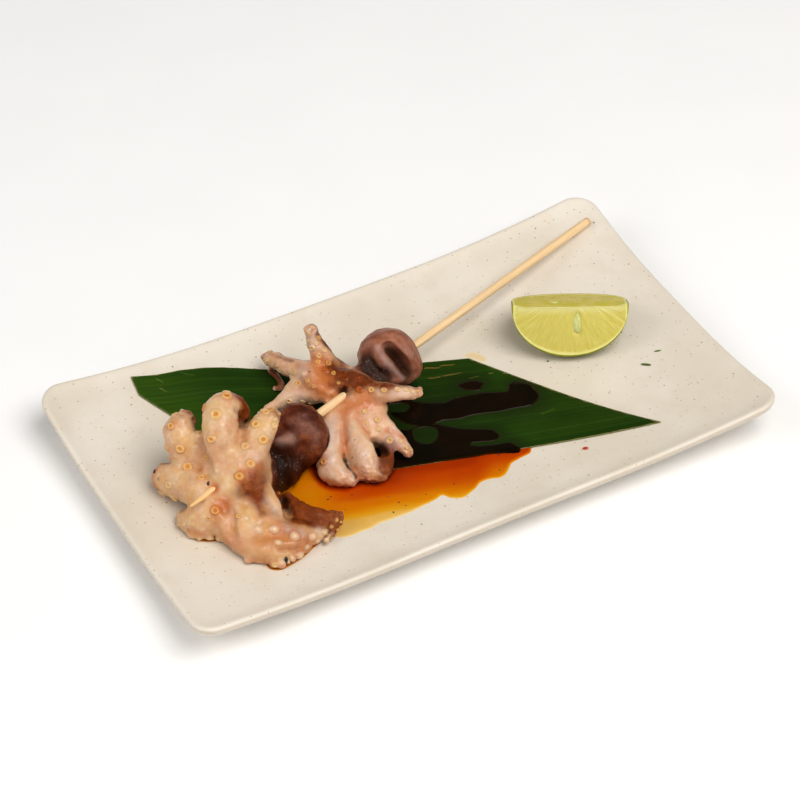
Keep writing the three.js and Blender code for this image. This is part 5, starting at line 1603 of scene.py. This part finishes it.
        # flecks of sauce
        fleck, node = m.cells(4.4)
        some = m.nt.nodes.new("ShaderNodeSeparateColor")
        m.nt.links.new(node.outputs["Color"], some.inputs[0])
        size = m.step(some.outputs[0], 0.62, 1.0, 0.0, 0.24)
        fm = m.step(m.math("ADD", fleck, m.math("MULTIPLY", m.math("SUBTRACT", n_fine, 0.5), 0.16)), 0.0, m.math("ADD", size, 0.001), 1.0, 0.0)
        fm = m.math("MULTIPLY", fm, m.math("GREATER_THAN", some.outputs[0], 0.62))
        col = m.mix(m.math("MULTIPLY", fm, 0.55), col, lin(204, 116, 44))
        # the head
        hd = m.ramp(m.math("ADD", m.math("MULTIPLY", n_big, 0.55), m.math("MULTIPLY", n_mid, 0.45)), [(0.32, head_lo), (0.5, head_mid), (0.7, head_hi)])
        hd = m.mix(m.step(n_fine, 0.5, 0.78, 0.0, 0.2), hd, head_lo)
        hm = m.math("ADD", m.attr("mantle"), m.math("MULTIPLY", m.math("SUBTRACT", n_mid, 0.5), 0.35))
        head = m.step(hm, 0.22, 0.78)
        col = m.mix(head, col, hd)
        # painted highlights: soft pale patches on the heads and on the back head's ridge
        col = m.mix(m.step(m.math("MULTIPLY", m.attr("painted_highlight"), m.math("ADD", 0.55, m.math("MULTIPLY", n_fine, 0.8))), 0.0, 0.95, 0.0, 0.8), col, highlight_paint)
        # dark head skin, with painted shade under the front head and in the back head's hollow
        dk = m.math("MULTIPLY", m.attr("dark"), m.math("ADD", 0.6, m.math("MULTIPLY", n_mid, 0.8)))
        col = m.mix(m.step(dk, 0.0, 0.95, 0.0, 0.92), col, dark_skin_and_shade_tone)
        # painted glints: small pale specks in the colour where the wet skin glints
        painted_glint = m.math("MULTIPLY", m.math("MINIMUM", m.math("MULTIPLY", m.attr("glint"), 1.4), 1.0), m.step(m.noise(0.66, 2, 0.5), 0.58, 0.72))
        painted_glint = m.math("MULTIPLY", painted_glint, m.step(n_mid, 0.44, 0.62, 0.05, 1.0))
        col = m.mix(m.math("MULTIPLY", painted_glint, 0.5), col, lin(186, 176, 172))
        ch = m.math("MULTIPLY", m.attr("char"), m.math("ADD", 0.5, n_fine))
        col = m.mix(m.step(ch, 0.1, 0.95, 0.0, 0.85), col, lin(74, 34, 18))
        low = m.step(m.attr("near"), 0.2, 1.0, 0.0, 0.8)
        col = m.mix(low, col, lin(134, 68, 30))
        # sucker rims and cups
        tone = m.attr("tone")
        rim = m.mix(tone, lin(230, 198, 138), lin(226, 170, 78))
        rim = m.mix(m.step(tone, 0.72, 0.95), rim, lin(180, 92, 38))
        rim = m.mix(m.step(tone, 0.17, 0.19, 1.0, 0.0), rim, lin(228, 194, 162))
        col = m.mix(m.math("MULTIPLY", m.attr("ring"), 0.72), col, rim)
        cup = m.mix(m.step(tone, 0.17, 0.62), lin(228, 196, 154), lin(208, 128, 12))
        cup = m.mix(m.step(tone, 0.66, 0.95), cup, lin(176, 72, 10))
        col = m.mix(m.math("MULTIPLY", m.attr("core"), 0.9), col, cup)
        col = m.mix(m.math("MULTIPLY", m.attr("line"), 0.3), col, lin(172, 98, 38))
        # the skin is drier than the pale flesh, which has a wet film in patches
        skinny = m.math("MAXIMUM", m.attr("brown"), m.math("MAXIMUM", m.attr("dorsal"), m.attr("dark")))
        patches = m.step(m.noise(2.6, 3, 0.6), 0.46, 0.6)
        glint = m.attr("glint")
        level = m.math("MULTIPLY", m.step(skinny, 0.0, 0.8, 0.4, 0.05), m.step(head, 0.0, 1.0, 1.0, 0.35))
        film = m.math("MULTIPLY", m.math("ADD", 0.16, m.math("MULTIPLY", patches, wet)), m.step(skinny, 0.0, 1.0, 1.0, 0.14))
        film = m.math("ADD", m.math("MULTIPLY", film, m.math("SUBTRACT", 1.0, head)), m.math("MULTIPLY", head, m.step(m.attr("dark"), 0.0, 0.8, 0.18, 0.06)))
        film = m.math("MAXIMUM", film, m.math("MULTIPLY", glint, 0.5))
        m.set(Base_Color=col, Subsurface_Weight=0.24, Subsurface_Scale=0.0022, IOR=1.4, Specular_IOR_Level=level)
        m.bsdf.inputs["Subsurface Radius"].default_value = (1.0, 0.42, 0.22)
        m.set(Roughness=m.step(n_fine, 0.3, 0.7, 0.28, 0.44), Coat_Weight=film, Coat_Roughness=m.step(m.math("SUBTRACT", head, glint), 0.0, 1.0, 0.1, 0.24), Coat_IOR=1.38)
        hgt = m.math("ADD", m.math("MULTIPLY", n_fine, 0.6), m.math("MULTIPLY", m.noise(0.45, 2), 0.35))
        m.set(Normal=m.bump(hgt, 0.36, 0.6))
        # the film itself is rippled, and beaded where it glints
        ripple = m.math("ADD", m.math("MULTIPLY", m.noise(1.4, 2), 0.55), m.math("MULTIPLY", m.math("MULTIPLY", m.noise(0.6, 2), 1.5), glint))
        m.set(Coat_Normal=m.bump(ripple, 0.45, 0.8))
        return m.mat

    M["front"] = flesh(
        "flesh_front", lin(230, 204, 170), lin(216, 176, 126), lin(204, 150, 110), lin(214, 160, 82), lin(238, 214, 186), lin(172, 98, 40), lin(190, 96, 22), lin(128, 54, 5), lin(100, 36, 2),
        lin(46, 13, 2), lin(88, 32, 9), lin(146, 78, 42), lin(184, 140, 122), lin(20, 7, 2), 0.75)
    M["back"] = flesh(
        "flesh_back", lin(234, 206, 178), lin(220, 178, 138), lin(210, 154, 120), lin(218, 164, 92), lin(242, 218, 196), lin(178, 102, 46), lin(190, 98, 22), lin(122, 52, 12), lin(88, 32, 4),
        lin(110, 56, 38), lin(154, 96, 72), lin(184, 130, 104), lin(162, 130, 122), lin(26, 9, 3), 0.75)

    # sauces: a liquid's colour deepens with its depth
    m = Nodes("sauce_amber")
    deep = m.math("ADD", m.attr("deep"), m.math("MULTIPLY", m.math("SUBTRACT", m.noise(6, 3), 0.5), 0.05))
    col = m.ramp(deep, [(0.0, lin(231, 220, 198)), (0.08, lin(226, 192, 116)), (0.18, lin(218, 154, 26)), (0.34, lin(210, 122, 2)), (0.5, lin(194, 84, 1)), (0.66, lin(178, 58, 1)), (0.82, lin(152, 42, 1)), (1.0, lin(92, 20, 2))])
    m.set(Base_Color=col, Roughness=0.2, Specular_IOR_Level=0.12, Coat_Weight=0.0)
    m.set(Normal=m.bump(m.noise(9, 2), 0.2, 0.3))
    M["amber"] = m.mat

    m = Nodes("sauce_seep")
    deep = m.math("ADD", m.attr("deep"), m.math("MULTIPLY", m.math("SUBTRACT", m.noise(5, 3), 0.5), 0.3))
    col = m.ramp(deep, [(0.0, lin(214, 190, 150)), (0.3, lin(196, 140, 70)), (0.55, lin(176, 106, 36)), (0.8, lin(124, 62, 12))])
    m.set(Base_Color=col, Roughness=0.22, Specular_IOR_Level=0.15)
    m.set(Normal=m.bump(m.noise(6, 2), 0.2, 0.3))
    M["seep"] = m.mat

    m = Nodes("sauce_dark")
    n = m.noise(14, 3)
    col = m.mix(m.step(n, 0.35, 0.7), lin(12, 9, 2), lin(22, 12, 4))
    col = m.mix(m.step(m.attr("depth"), 0.05, 0.55, 0.55, 0.0), col, lin(46, 24, 8))
    m.set(Base_Color=col, Roughness=0.14, Specular_IOR_Level=m.math("MULTIPLY", m.step(m.attr("drip"), 0.0, 1.0, 0.25, 0.0), m.step(m.attr("depth"), 0.1, 1.1, 0.3, 1.0)), Coat_Weight=0.0)
    m.set(Normal=m.bump(m.noise(8, 2), 0.25, 0.3))
    M["dark"] = m.mat

    # lime
    m = Nodes("lime")
    pc = m.attr("pulpco", "Vector")
    cellsn = m.noise(1.0, 3, 0.6, vector=pc)
    cells2 = m.noise(0.45, 3, 0.6, vector=pc)
    pulp = m.ramp(cellsn, [(0.25, lin(200, 186, 82)), (0.45, lin(206, 192, 92)), (0.6, lin(210, 198, 102)), (0.8, lin(218, 208, 126))])
    pulp = m.mix(m.step(cells2, 0.55, 0.8, 0.0, 0.3), pulp, lin(228, 220, 156))
    core = m.attr("core")
    pulp = m.mix(m.step(core, 0.4, 5.0, 0.55, 0.0), pulp, lin(222, 218, 158))
    upper = m.attr("upper")
    pulp = m.mix(m.math("MULTIPLY", upper, 0.85), pulp, m.mix(m.step(m.noise(6, 3), 0.4, 0.65), lin(194, 182, 40), lin(214, 192, 98)))
    inner = m.attr("inner")
    pith = m.step(inner, 1.0, 2.2, 1.0, 0.0)
    col = m.mix(pith, pulp, lin(226, 218, 136))
    rind = m.step(inner, 0.5, 0.8, 1.0, 0.0)
    rcol = m.mix(m.step(m.noise(7, 3), 0.35, 0.7), lin(112, 120, 3), lin(144, 146, 12))
    pores, _ = m.cells(1.3)
    rcol = m.mix(m.step(pores, 0.1, 0.3, 0.5, 0.0), rcol, lin(78, 92, 2))
    col = m.mix(rind, col, rcol)
    m.set(Base_Color=col, Subsurface_Weight=0.3, Subsurface_Scale=0.003, IOR=1.38, Specular_IOR_Level=m.step(rind, 0.0, 1.0, 0.28, 0.12), Coat_Weight=m.math("MULTIPLY", m.step(upper, 0.0, 1.0, 0.12, 0.04), m.math("SUBTRACT", 1.0, rind)), Coat_Roughness=0.2)
    m.bsdf.inputs["Subsurface Radius"].default_value = (0.9, 1.0, 0.35)
    m.set(Roughness=m.step(cells2, 0.3, 0.7, 0.25, 0.45))
    m.set(Normal=m.bump(m.math("ADD", cellsn, m.math("MULTIPLY", cells2, 0.5)), 0.18, 0.5))
    M["lime"] = m.mat

    m = Nodes("lime_seed")
    col = m.mix(m.step(m.noise(1.6, 3), 0.4, 0.6), lin(214, 213, 146), lin(194, 200, 116))
    m.set(Base_Color=col, Roughness=0.35, Subsurface_Weight=0.2, Subsurface_Scale=0.001)
    M["pip"] = m.mat

    for key, a, b, rough in (("seed", lin(20, 16, 14), lin(42, 34, 28), 0.35), ("pepper", lin(92, 38, 12), lin(44, 20, 10), 0.5), ("herb", lin(74, 92, 16), lin(112, 124, 44), 0.7), ("chilli", lin(196, 42, 20), lin(150, 24, 12), 0.4)):
        m = Nodes("bit_" + key)
        n = m.noise(0.7, 3)
        m.set(Base_Color=m.mix(m.step(m.math("ADD", n, m.math("MULTIPLY", m.math("SUBTRACT", m.attr("tone"), 0.5), 0.4)), 0.35, 0.65), a, b), Roughness=rough)
        m.set(Normal=m.bump(m.noise(0.4, 2), 0.08, 0.5))
        M[key] = m.mat

    m = Nodes("table_white")
    n = m.noise(60, 3)
    m.set(Base_Color=m.mix(m.step(n, 0.3, 0.7), (0.96, 0.96, 0.96, 1), (0.975, 0.975, 0.975, 1)), Roughness=0.9, Specular_IOR_Level=0.1)
    M["floor"] = m.mat
    return M


# ------------------------------------------------------------------ light and floor
def light_scene(floor_mat):
    scene = bpy.context.scene
    scene.view_settings.view_transform = "Standard"
    scene.view_settings.look = "None"
    scene.view_settings.exposure = 0.0
    scene.view_settings.gamma = 1.0
    world = bpy.data.worlds.new("studio")
    world.use_nodes = True
    scene.world = world
    # an even studio, darker in one broad patch low behind the set
    nt = world.node_tree
    bg = nt.nodes["Background"]
    where = nt.nodes.new("ShaderNodeTexCoord").outputs["Generated"]
    dot = nt.nodes.new("ShaderNodeVectorMath")
    dot.operation = "DOT_PRODUCT"
    nt.links.new(where, dot.inputs[0])
    dot.inputs[1].default_value = (0.355, 0.636, 0.685)
    turn = nt.nodes.new("ShaderNodeMapRange")
    turn.interpolation_type = "SMOOTHSTEP"
    for k, v in (("From Min", 0.62), ("From Max", 0.93), ("To Min", 1.0), ("To Max", 0.10)):
        turn.inputs[k].default_value = v
    nt.links.new(dot.outputs["Value"], turn.inputs["Value"])
    mul = nt.nodes.new("ShaderNodeMath")
    mul.operation = "MULTIPLY"
    mul.inputs[1].default_value = 0.44
    nt.links.new(turn.outputs[0], mul.inputs[0])
    bg.inputs["Color"].default_value = (1.0, 0.985, 0.965, 1)
    nt.links.new(mul.outputs[0], bg.inputs["Strength"])

    def area(name, where, target, size, power, colour):
        data = bpy.data.lights.new(name, "AREA")
        data.shape = "RECTANGLE"
        data.size, data.size_y = size
        data.energy = power
        data.color = colour
        o = bpy.data.objects.new(name, data)
        scene.collection.objects.link(o)
        o.location = where
        o.rotation_euler = (Vector(target) - Vector(where)).to_track_quat("-Z", "Y").to_euler()
        return o

    area("key", (0.22, -0.62, 1.24), (0, 0, 0), (0.95, 0.95), 15.4, (1.0, 0.98, 0.95))
    area("fill", (-1.1, 0.2, 0.95), (0, 0, 0), (0.8, 0.8), 5.0, (1.0, 0.985, 0.97))

    n = 24
    x = np.linspace(-6000, 6000, n)
    X, Y = np.meshgrid(x, x, indexing="ij")
    V = np.stack([X, Y, 0 * X - 0.02], -1).reshape(-1, 3)
    F = grid_faces(n, n)
    if vertex_normals(V, F)[:, 2].sum() < 0:
        F = F[:, ::-1]
    floor = piece("floor_plane", V, F, floor_mat, ride=False)


# ------------------------------------------------------------------ assembly
M = make_materials()
light_scene(M["floor"])

plate = build_plate(M["plate"])
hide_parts("plate")
leaf = build_leaf(M["leaf"])
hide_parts("leaf")
stick = build_skewer(M["bamboo"])
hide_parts("skewer")

# soft grooves and ridges: pixel to pixel, width and depth in mm
FRONT_STROKES = [
    # folds below the head's upper lobe
    (278, 470, 290, 490, 2.2, -0.6), (290, 466, 304, 476, 2.2, -0.5), (310, 440, 318, 428, 3.5, 0.5), (284, 440, 296, 436, 4.0, 0.5),
    (282, 459, 285, 478, 1.2, 0.5), (298, 470, 300, 488, 1.3, 0.4), (274, 460, 278, 476, 1.2, 0.4), (288, 456, 292, 470, 1.0, 0.35),
    # grooves between the arms
    (247, 425, 244, 440, 2.2, -1.4), (222, 452, 232, 480, 3.0, -0.8), (200, 470, 212, 486, 2.5, -0.6), (204, 448, 209, 470, 2.0, -0.5), (168, 462, 186, 478, 1.8, -0.6),
    (236, 500, 262, 520, 2.4, -0.7), (196, 416, 201, 432, 1.6, -0.8), (182, 424, 198, 420, 1.4, -0.7), (217, 500, 224, 512, 2.0, -0.8), (192, 505, 206, 525, 2.2, -0.6), (246, 500, 256, 540, 3.5, -0.5),
    (182, 420, 196, 416, 1.3, 0.7), (158, 458, 172, 461, 1.3, -0.8), (262, 498, 290, 522, 2.2, -0.8), (250, 478, 262, 462, 3.0, 0.5),
    # the skewer's pucker
    (214, 488, 219, 485, 2.0, -0.9),
]
BACK_STROKES = [
    (366, 358, 372, 350, 2.0, -0.5), (375, 358, 383, 370, 1.0, 0.4), (370, 366, 380, 376, 0.9, 0.35), (392, 366, 397, 376, 0.8, 0.35),
    (352, 384, 372, 396, 1.8, -0.7), (330, 398, 334, 408, 1.4, -0.5),
    (336, 404, 338, 440, 1.2, 0.5), (360, 412, 368, 430, 1.8, -0.5), (300, 386, 322, 396, 2.0, -0.6), (306, 340, 312, 362, 2.4, -0.4), (372, 440, 376, 462, 1.6, -0.4),
]
front_dabs = {
    "warm": [(171, 426, 4, 0.6), (180, 449, 4, 0.5), (227, 397, 4, 0.5), (246, 470, 5, 0.4), (244, 481, 5, 0.75), (252, 476, 5.5, 0.65), (260, 467, 5, 0.55), (256, 494, 5, 0.35), (233, 531, 9, 0.4), (262, 541, 310, 549, 8, 0.6), (202, 407, 4, 0.7), (214, 489, 4.5, 0.95), (219, 508, 5.5, 0.95), (226, 503, 4, 0.8), (201, 478, 3.5, 0.5), (187, 467, 3.5, 0.5), (239, 476, 3.5, 0.5),
             (205, 456, 3, 0.5), (238, 516, 3.5, 0.45), (155, 470, 157, 492, 3.2, 0.9), (190, 505, 8, 0.3), (270, 492, 286, 514, 3.0, 0.35), (238, 548, 9, 0.35), (268, 566, 8, 0.4), (300, 558, 6, 0.35), (200, 470, 8, 0.25), (234, 394, 247, 418, 4.5, 0.9),
             (262, 410, 5, 0.4), (190, 532, 228, 543, 3.0, 0.55), (250, 562, 284, 567, 2.6, 0.5), (214, 520, 5, 0.4), (280, 530, 310, 536, 6, 0.45), (264, 516, 280, 524, 5, 0.4)],
    "brown": [(240, 494, 254, 497, 6.0, 0.42), (248, 487, 260, 488, 6.0, 0.42), (247, 490, 256, 492, 3.5, 0.4), (255, 477, 264, 481, 5.6, 0.46), (262, 464, 268, 474, 5.4, 0.4), (270, 440, 271, 462, 5.4, 0.26), (262, 498, 272, 512, 4.6, 0.4), (276, 512, 288, 521, 3.0, 0.2), (277, 487, 284, 500, 3.0, 0.9), (275, 492, 284, 506, 3.4, 0.9), (276, 490, 279, 496, 2.2, 0.9), (189, 411, 196, 417, 4.5, 0.7), (236, 393, 248, 416, 5.0, 1.0), (235, 410, 240, 418, 3, 0.4), (258, 500, 262, 514, 3.0, 0.55), (296, 520, 312, 525, 3.5, 0.85), (266, 408, 279, 416, 4, 0.6), (272, 470, 273, 488, 2.8, 0.4),
              (298, 504, 338, 513, 6.0, 1.0), (300, 514, 338, 520, 6.0, 1.0), (226, 503, 229, 511, 2.8, 0.35), (156, 464, 160, 467, 3, 0.7), (285, 528, 306, 538, 5, 0.35), (270, 546, 306, 551, 8, 0.2), (252, 476, 256, 475, 4.2, 0.25), (332, 538, 341, 520, 3.0, 0.7), (289, 495, 306, 508, 4, 0.9), (320, 524, 334, 524, 4, 0.5)],
    # dark: dark skin on the front head's lower part, with painted shade under the head
    "dark": [(276, 452, 282, 480, 7.5, 0.95), (284, 480, 286, 490, 6, 0.95), (292, 488, 300, 476, 6, 0.6), (296, 462, 306, 468, 6, 0.5), (288, 450, 290, 464, 6, 0.6)],
    # pale lilac tint, partly painted highlight on the fold crests
    "lilac_tint_and_painted_light": [(267, 498, 2.4, 0.25), (273, 510, 275, 517, 2.6, 0.4), (285, 524, 288, 529, 2.4, 0.35), (301, 531, 304, 534, 2.2, 0.4), (257, 457, 2.6, 0.5), (231, 394, 4, 0.4), (270, 433, 3, 0.4), (318, 531, 3, 0.4), (200, 495, 4, 0.3)],
    # glint: wet gloss in the coat, and painted glint specks in the colour
    "glint": [(274, 457, 281, 465, 3.6, 1.0), (275, 470, 281, 481, 3.6, 1.0), (291, 461, 298, 467, 3.6, 1.0), (301, 456, 307, 460, 3, 0.6), (308, 424, 320, 444, 6, 0.35), (284, 437, 291, 441, 3, 0.3)],
    # painted shade in the gaps, holes and creases between the arms
    "painted_gap_shade": [(247, 421, 2.5, 0.9), (283, 501, 289, 511, 3.8, 0.62), (284, 491, 285, 500, 2.0, 0.8), (281, 548.7, 296, 549, 0.9, 0.3), (294, 519, 310, 523, 1.6, 0.5)],
    # painted highlights on the front head
    "painted_highlight": [(281, 441, 291, 438.5, 3.8, 0.9), (292, 421, 299, 423, 3.0, 0.25), (308, 424, 317, 434, 4.6, 0.22), (317, 436, 315, 446, 4.0, 0.24), (291, 413, 307, 413, 4.4, 0.1)],
    "char": [(158, 490, 2.0, 0.9), (158, 479, 1.8, 0.6), (188, 530, 1.6, 0.5), (243, 400, 1.8, 0.4)],
}
back_dabs = {
    "warm": [(317, 361, 6, 0.8), (325, 370, 8, 0.95), (333, 379, 8, 0.95), (316, 386, 8, 0.7), (322, 391, 6, 0.55), (304, 382, 7, 0.5), (334, 399, 350, 404, 4.5, 0.65), (360, 390, 5.5, 0.9), (368, 396, 5, 0.65), (360, 402, 384, 404, 4.5, 0.4),
             (388, 430, 402, 437, 2.2, 0.8), (324, 449, 324, 461, 4.5, 0.9), (344.5, 412, 344.5, 456, 3.2, 0.75), (344.5, 427, 1.2, 0.9), (345.5, 442, 1.4, 0.9), (341, 452, 3.5, 0.5), (356, 416, 370, 437, 2.6, 0.6), (355, 468, 358, 475, 2.6, 0.8), (386, 429, 390, 431, 1.3, 0.5), (365, 405, 3.5, 0.6), (350, 404, 356, 410, 4, 0.5), (324, 460, 2.6, 0.9), (303, 330, 4, 0.3), (270, 405, 300, 396, 6, 0.15), (330, 486, 350, 486, 4, 0.6), (368, 480, 380, 479, 3.5, 0.6),
             (340, 410, 6, 0.4), (342, 388, 4, 0.7), (296, 364, 306, 372, 4, 0.3)],
    "brown": [(336, 368, 354, 380, 7.5, 0.85), (344, 374, 352, 378, 5, 0.8), (354, 381, 388, 386, 4.5, 0.8), (388, 386, 418, 388, 2.4, 0.5), (318, 334, 342, 360, 3.4, 0.8), (389, 446, 389, 470, 5, 1.0), (384, 452, 386, 468, 5, 1.0), (343, 366, 352, 370, 3, 0.45),
              (272, 372, 279, 386, 3.5, 0.9), (298, 365, 306, 369, 3.5, 0.3), (324, 486, 350, 487, 2.4, 0.75), (366, 481, 384, 479, 2.4, 0.8), (264, 354, 292, 361, 2.2, 0.5), (330, 385, 342, 388, 3.5, 0.5), (384, 400, 404, 428, 1.8, 0.35), (356, 376, 374, 380, 3, 0.6), (412, 366, 421, 376, 5, 0.5)],
    # dark: painted shade in the back head's hollow, and its dark glossy skin
    "dark": [(392, 355, 406, 372, 5.0, 0.92), (387, 350, 393, 356, 2.8, 0.8), (366, 361, 381, 375, 6.0, 1.0), (366, 368, 384, 378, 4.5, 1.0)],
    # pale lilac tint, partly painted light on an arm column in the front head's shade
    "lilac_tint_and_painted_light": [(395, 393, 414, 394, 3.2, 0.5), (392, 427, 398, 432, 2.6, 0.6), (345, 470, 350, 474, 4, 0.5), (364, 452, 370, 462, 5, 0.6), (330, 424, 331, 462, 4.4, 0.85), (352, 425, 356, 440, 4, 0.4), (303, 372, 5, 0.5), (309, 330, 312, 345, 4, 0.6), (284, 398, 298, 398, 4, 0.4), (300, 394, 308, 398, 4, 0.4), (388, 440, 398, 446, 4, 0.45)],
    # glint: wet gloss in the coat, and painted glint specks in the colour
    "glint": [(368, 364, 384, 375, 5.0, 0.9), (378, 348, 386, 360, 2.4, 0.35), (388, 363, 403, 378, 2.6, 0.6), (404, 348, 410, 356, 3.4, 0.3)],
    # painted shade in the skewer's hole, the gap under the arms and the crease between two arms
    "painted_gap_shade": [(344.5, 390.5, 3.2, 1.0), (341, 394, 2.0, 0.8), (376, 445, 384, 451, 3.2, 1.0), (345, 461, 2.4, 0.95), (347, 466, 356, 477, 1.5, 0.85), (344, 455, 1.6, 0.6)],
    # painted highlights along the back head's ridge and beside its hollow
    "painted_highlight": [(378, 347, 386, 361, 2.2, 0.85), (388.5, 363, 403, 378, 2.1, 0.95), (405, 348, 411, 356, 3.0, 0.4), (372, 352, 376, 358, 3, 0.2), (385, 367, 390, 374, 2.2, 0.3)],
    "char": [(334, 485, 1.8, 0.5), (345, 485, 1.8, 0.5), (372, 480, 1.8, 0.4), (303, 323.5, 1.5, 0.6), (313, 323.5, 1.5, 0.6), (262, 358, 1.6, 0.5), (421, 393, 1.6, 0.4), (413, 453, 1.6, 0.4)],
}
# suckers that the picture shows: pixel, width in pixels, tone from pale (0) to orange (0.6) and burnt (1)
front_suckers = [
    (170.8, 426, 8, 0.62), (179.9, 449, 10, 0.5), (166.1, 447.7, 7, 0.5), (187.5, 466.7, 10, 0.62), (168.4, 485.4, 9, 0.35), (201.3, 477.5, 7.5, 0.62), (205.9, 458, 5.5, 0.6), (198.9, 430.9, 7.5, 0.5), (211, 439.2, 9.5, 0.58),
    (215.7, 414.2, 11.5, 0.6), (226.8, 395.8, 11.5, 0.78), (201.9, 407.5, 9, 0.85), (255.8, 424, 9.5, 0.6), (245.1, 446.1, 9, 0.45), (263.2, 439.6, 10.5, 0.6), (250.5, 463.7, 9, 0.66), (239.1, 476.1, 9, 0.72),
    (279.6, 413.6, 4.6, 0.7), (261.8, 415.6, 4.2, 0.6), (265.9, 411.8, 8.5, 0.45), (274.6, 425.6, 7.5, 0.25), (275.3, 419.6, 5.5, 0.2), (271.5, 409.3, 6, 0.8), (215, 510.6, 9, 0.8), (208.3, 518.4, 4.5, 0.8), (213.4, 520.3, 4, 0.6), (238.4, 516, 5.5, 0.5), (246.2, 518.4, 6, 0.15),
    (257.6, 529.4, 8.5, 0.02), (274.3, 529.4, 9, 0.0), (294.7, 536.1, 9.5, 0.0), (278.3, 542.5, 8, 0.15), (313.2, 536.5, 8.5, 0.0), (300, 555.5, 9, 0.0), (275.3, 564.9, 7, 0.2), (307, 547, 6, 0.1), (324.8, 532.7, 7, 0.0), (331.5, 526.7, 4.6, 0.45),
    (336.9, 520, 4, 0.5), (318, 541, 5, 0.1), (184.2, 524, 5, 0.3), (192.9, 524, 5, 0.35), (216.5, 471, 6, 0.15), (333, 538, 4, 0.5), (328, 541.5, 4, 0.4), (338.5, 530, 3.6, 0.5), (341, 522, 3.4, 0.5),
]
back_suckers = [
    (307.1, 333, 5.5, 0.4), (318.9, 337.8, 5, 0.6), (311.9, 348.3, 6.5, 0.42), (324.6, 350.2, 6, 0.3), (318.9, 355.8, 6, 0.4), (318.2, 361.9, 5.5, 0.66), (328.4, 362.9, 6, 0.8), (325.3, 370.8, 7, 0.95), (333.5, 373, 5.5, 0.66), (338.6, 382.9, 4, 0.7),
    (277.4, 364.8, 5.5, 0.3), (267.5, 360, 4.5, 0.3), (294, 372.1, 6.5, 0.55), (303.8, 373.8, 7, 0.0), (298.5, 383.3, 7, 0.7), (307.4, 380.8, 5.5, 0.66), (313.8, 386.5, 5, 0.66), (288.9, 401.2, 6.5, 0.55), (302.9, 401.8, 5, 0.4), (310.6, 403.8, 5, 0.55), (262, 410.5, 4, 0.4),
    (359.7, 389.9, 8, 0.95), (371.2, 389.9, 6.5, 0.6), (383.9, 390.3, 6.5, 0.4), (397.3, 389.2, 6, 0.35), (405.6, 389.6, 5, 0.3), (412.6, 391.2, 4.6, 0.4), (418.5, 391.3, 4, 0.7), (420.3, 395, 3.6, 0.7),
    (364.8, 411.4, 5.5, 0.4), (365.4, 422.2, 4.6, 0.5), (377.8, 419.7, 7, 0.45), (378.2, 429, 5, 0.4), (389.7, 440.4, 7, 0.5), (400.8, 441.4, 4, 0.3), (406.9, 447.8, 4, 0.4), (411.5, 450.2, 3.6, 0.6),
    (325.9, 449.7, 5, 0.9), (323.5, 461.8, 7.5, 0.8), (308, 341, 4.5, 0.25), (316.5, 343.5, 4.5, 0.25), (304.6, 328.5, 3.6, 0.5), (312.6, 327.6, 3.6, 0.5),
]
H = 0.43
front_body, front_cups, front_hits = build_octopus("front", FRONT, H, M["front"], FRONT_STROKES, front_dabs, front_suckers, seed=100)
back_body, back_cups, back_hits = build_octopus("back", BACK, H, M["back"], BACK_STROKES, back_dabs, back_suckers, avoid=FRONT, seed=200)

lime, lime_hits = build_lime(M["lime"])
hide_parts("lime_wedge")
build_pips(M["pip"], lime_hits)
build_sauce(M["amber"], M["dark"], M["seep"])
build_garnish(M, front_hits, back_hits)
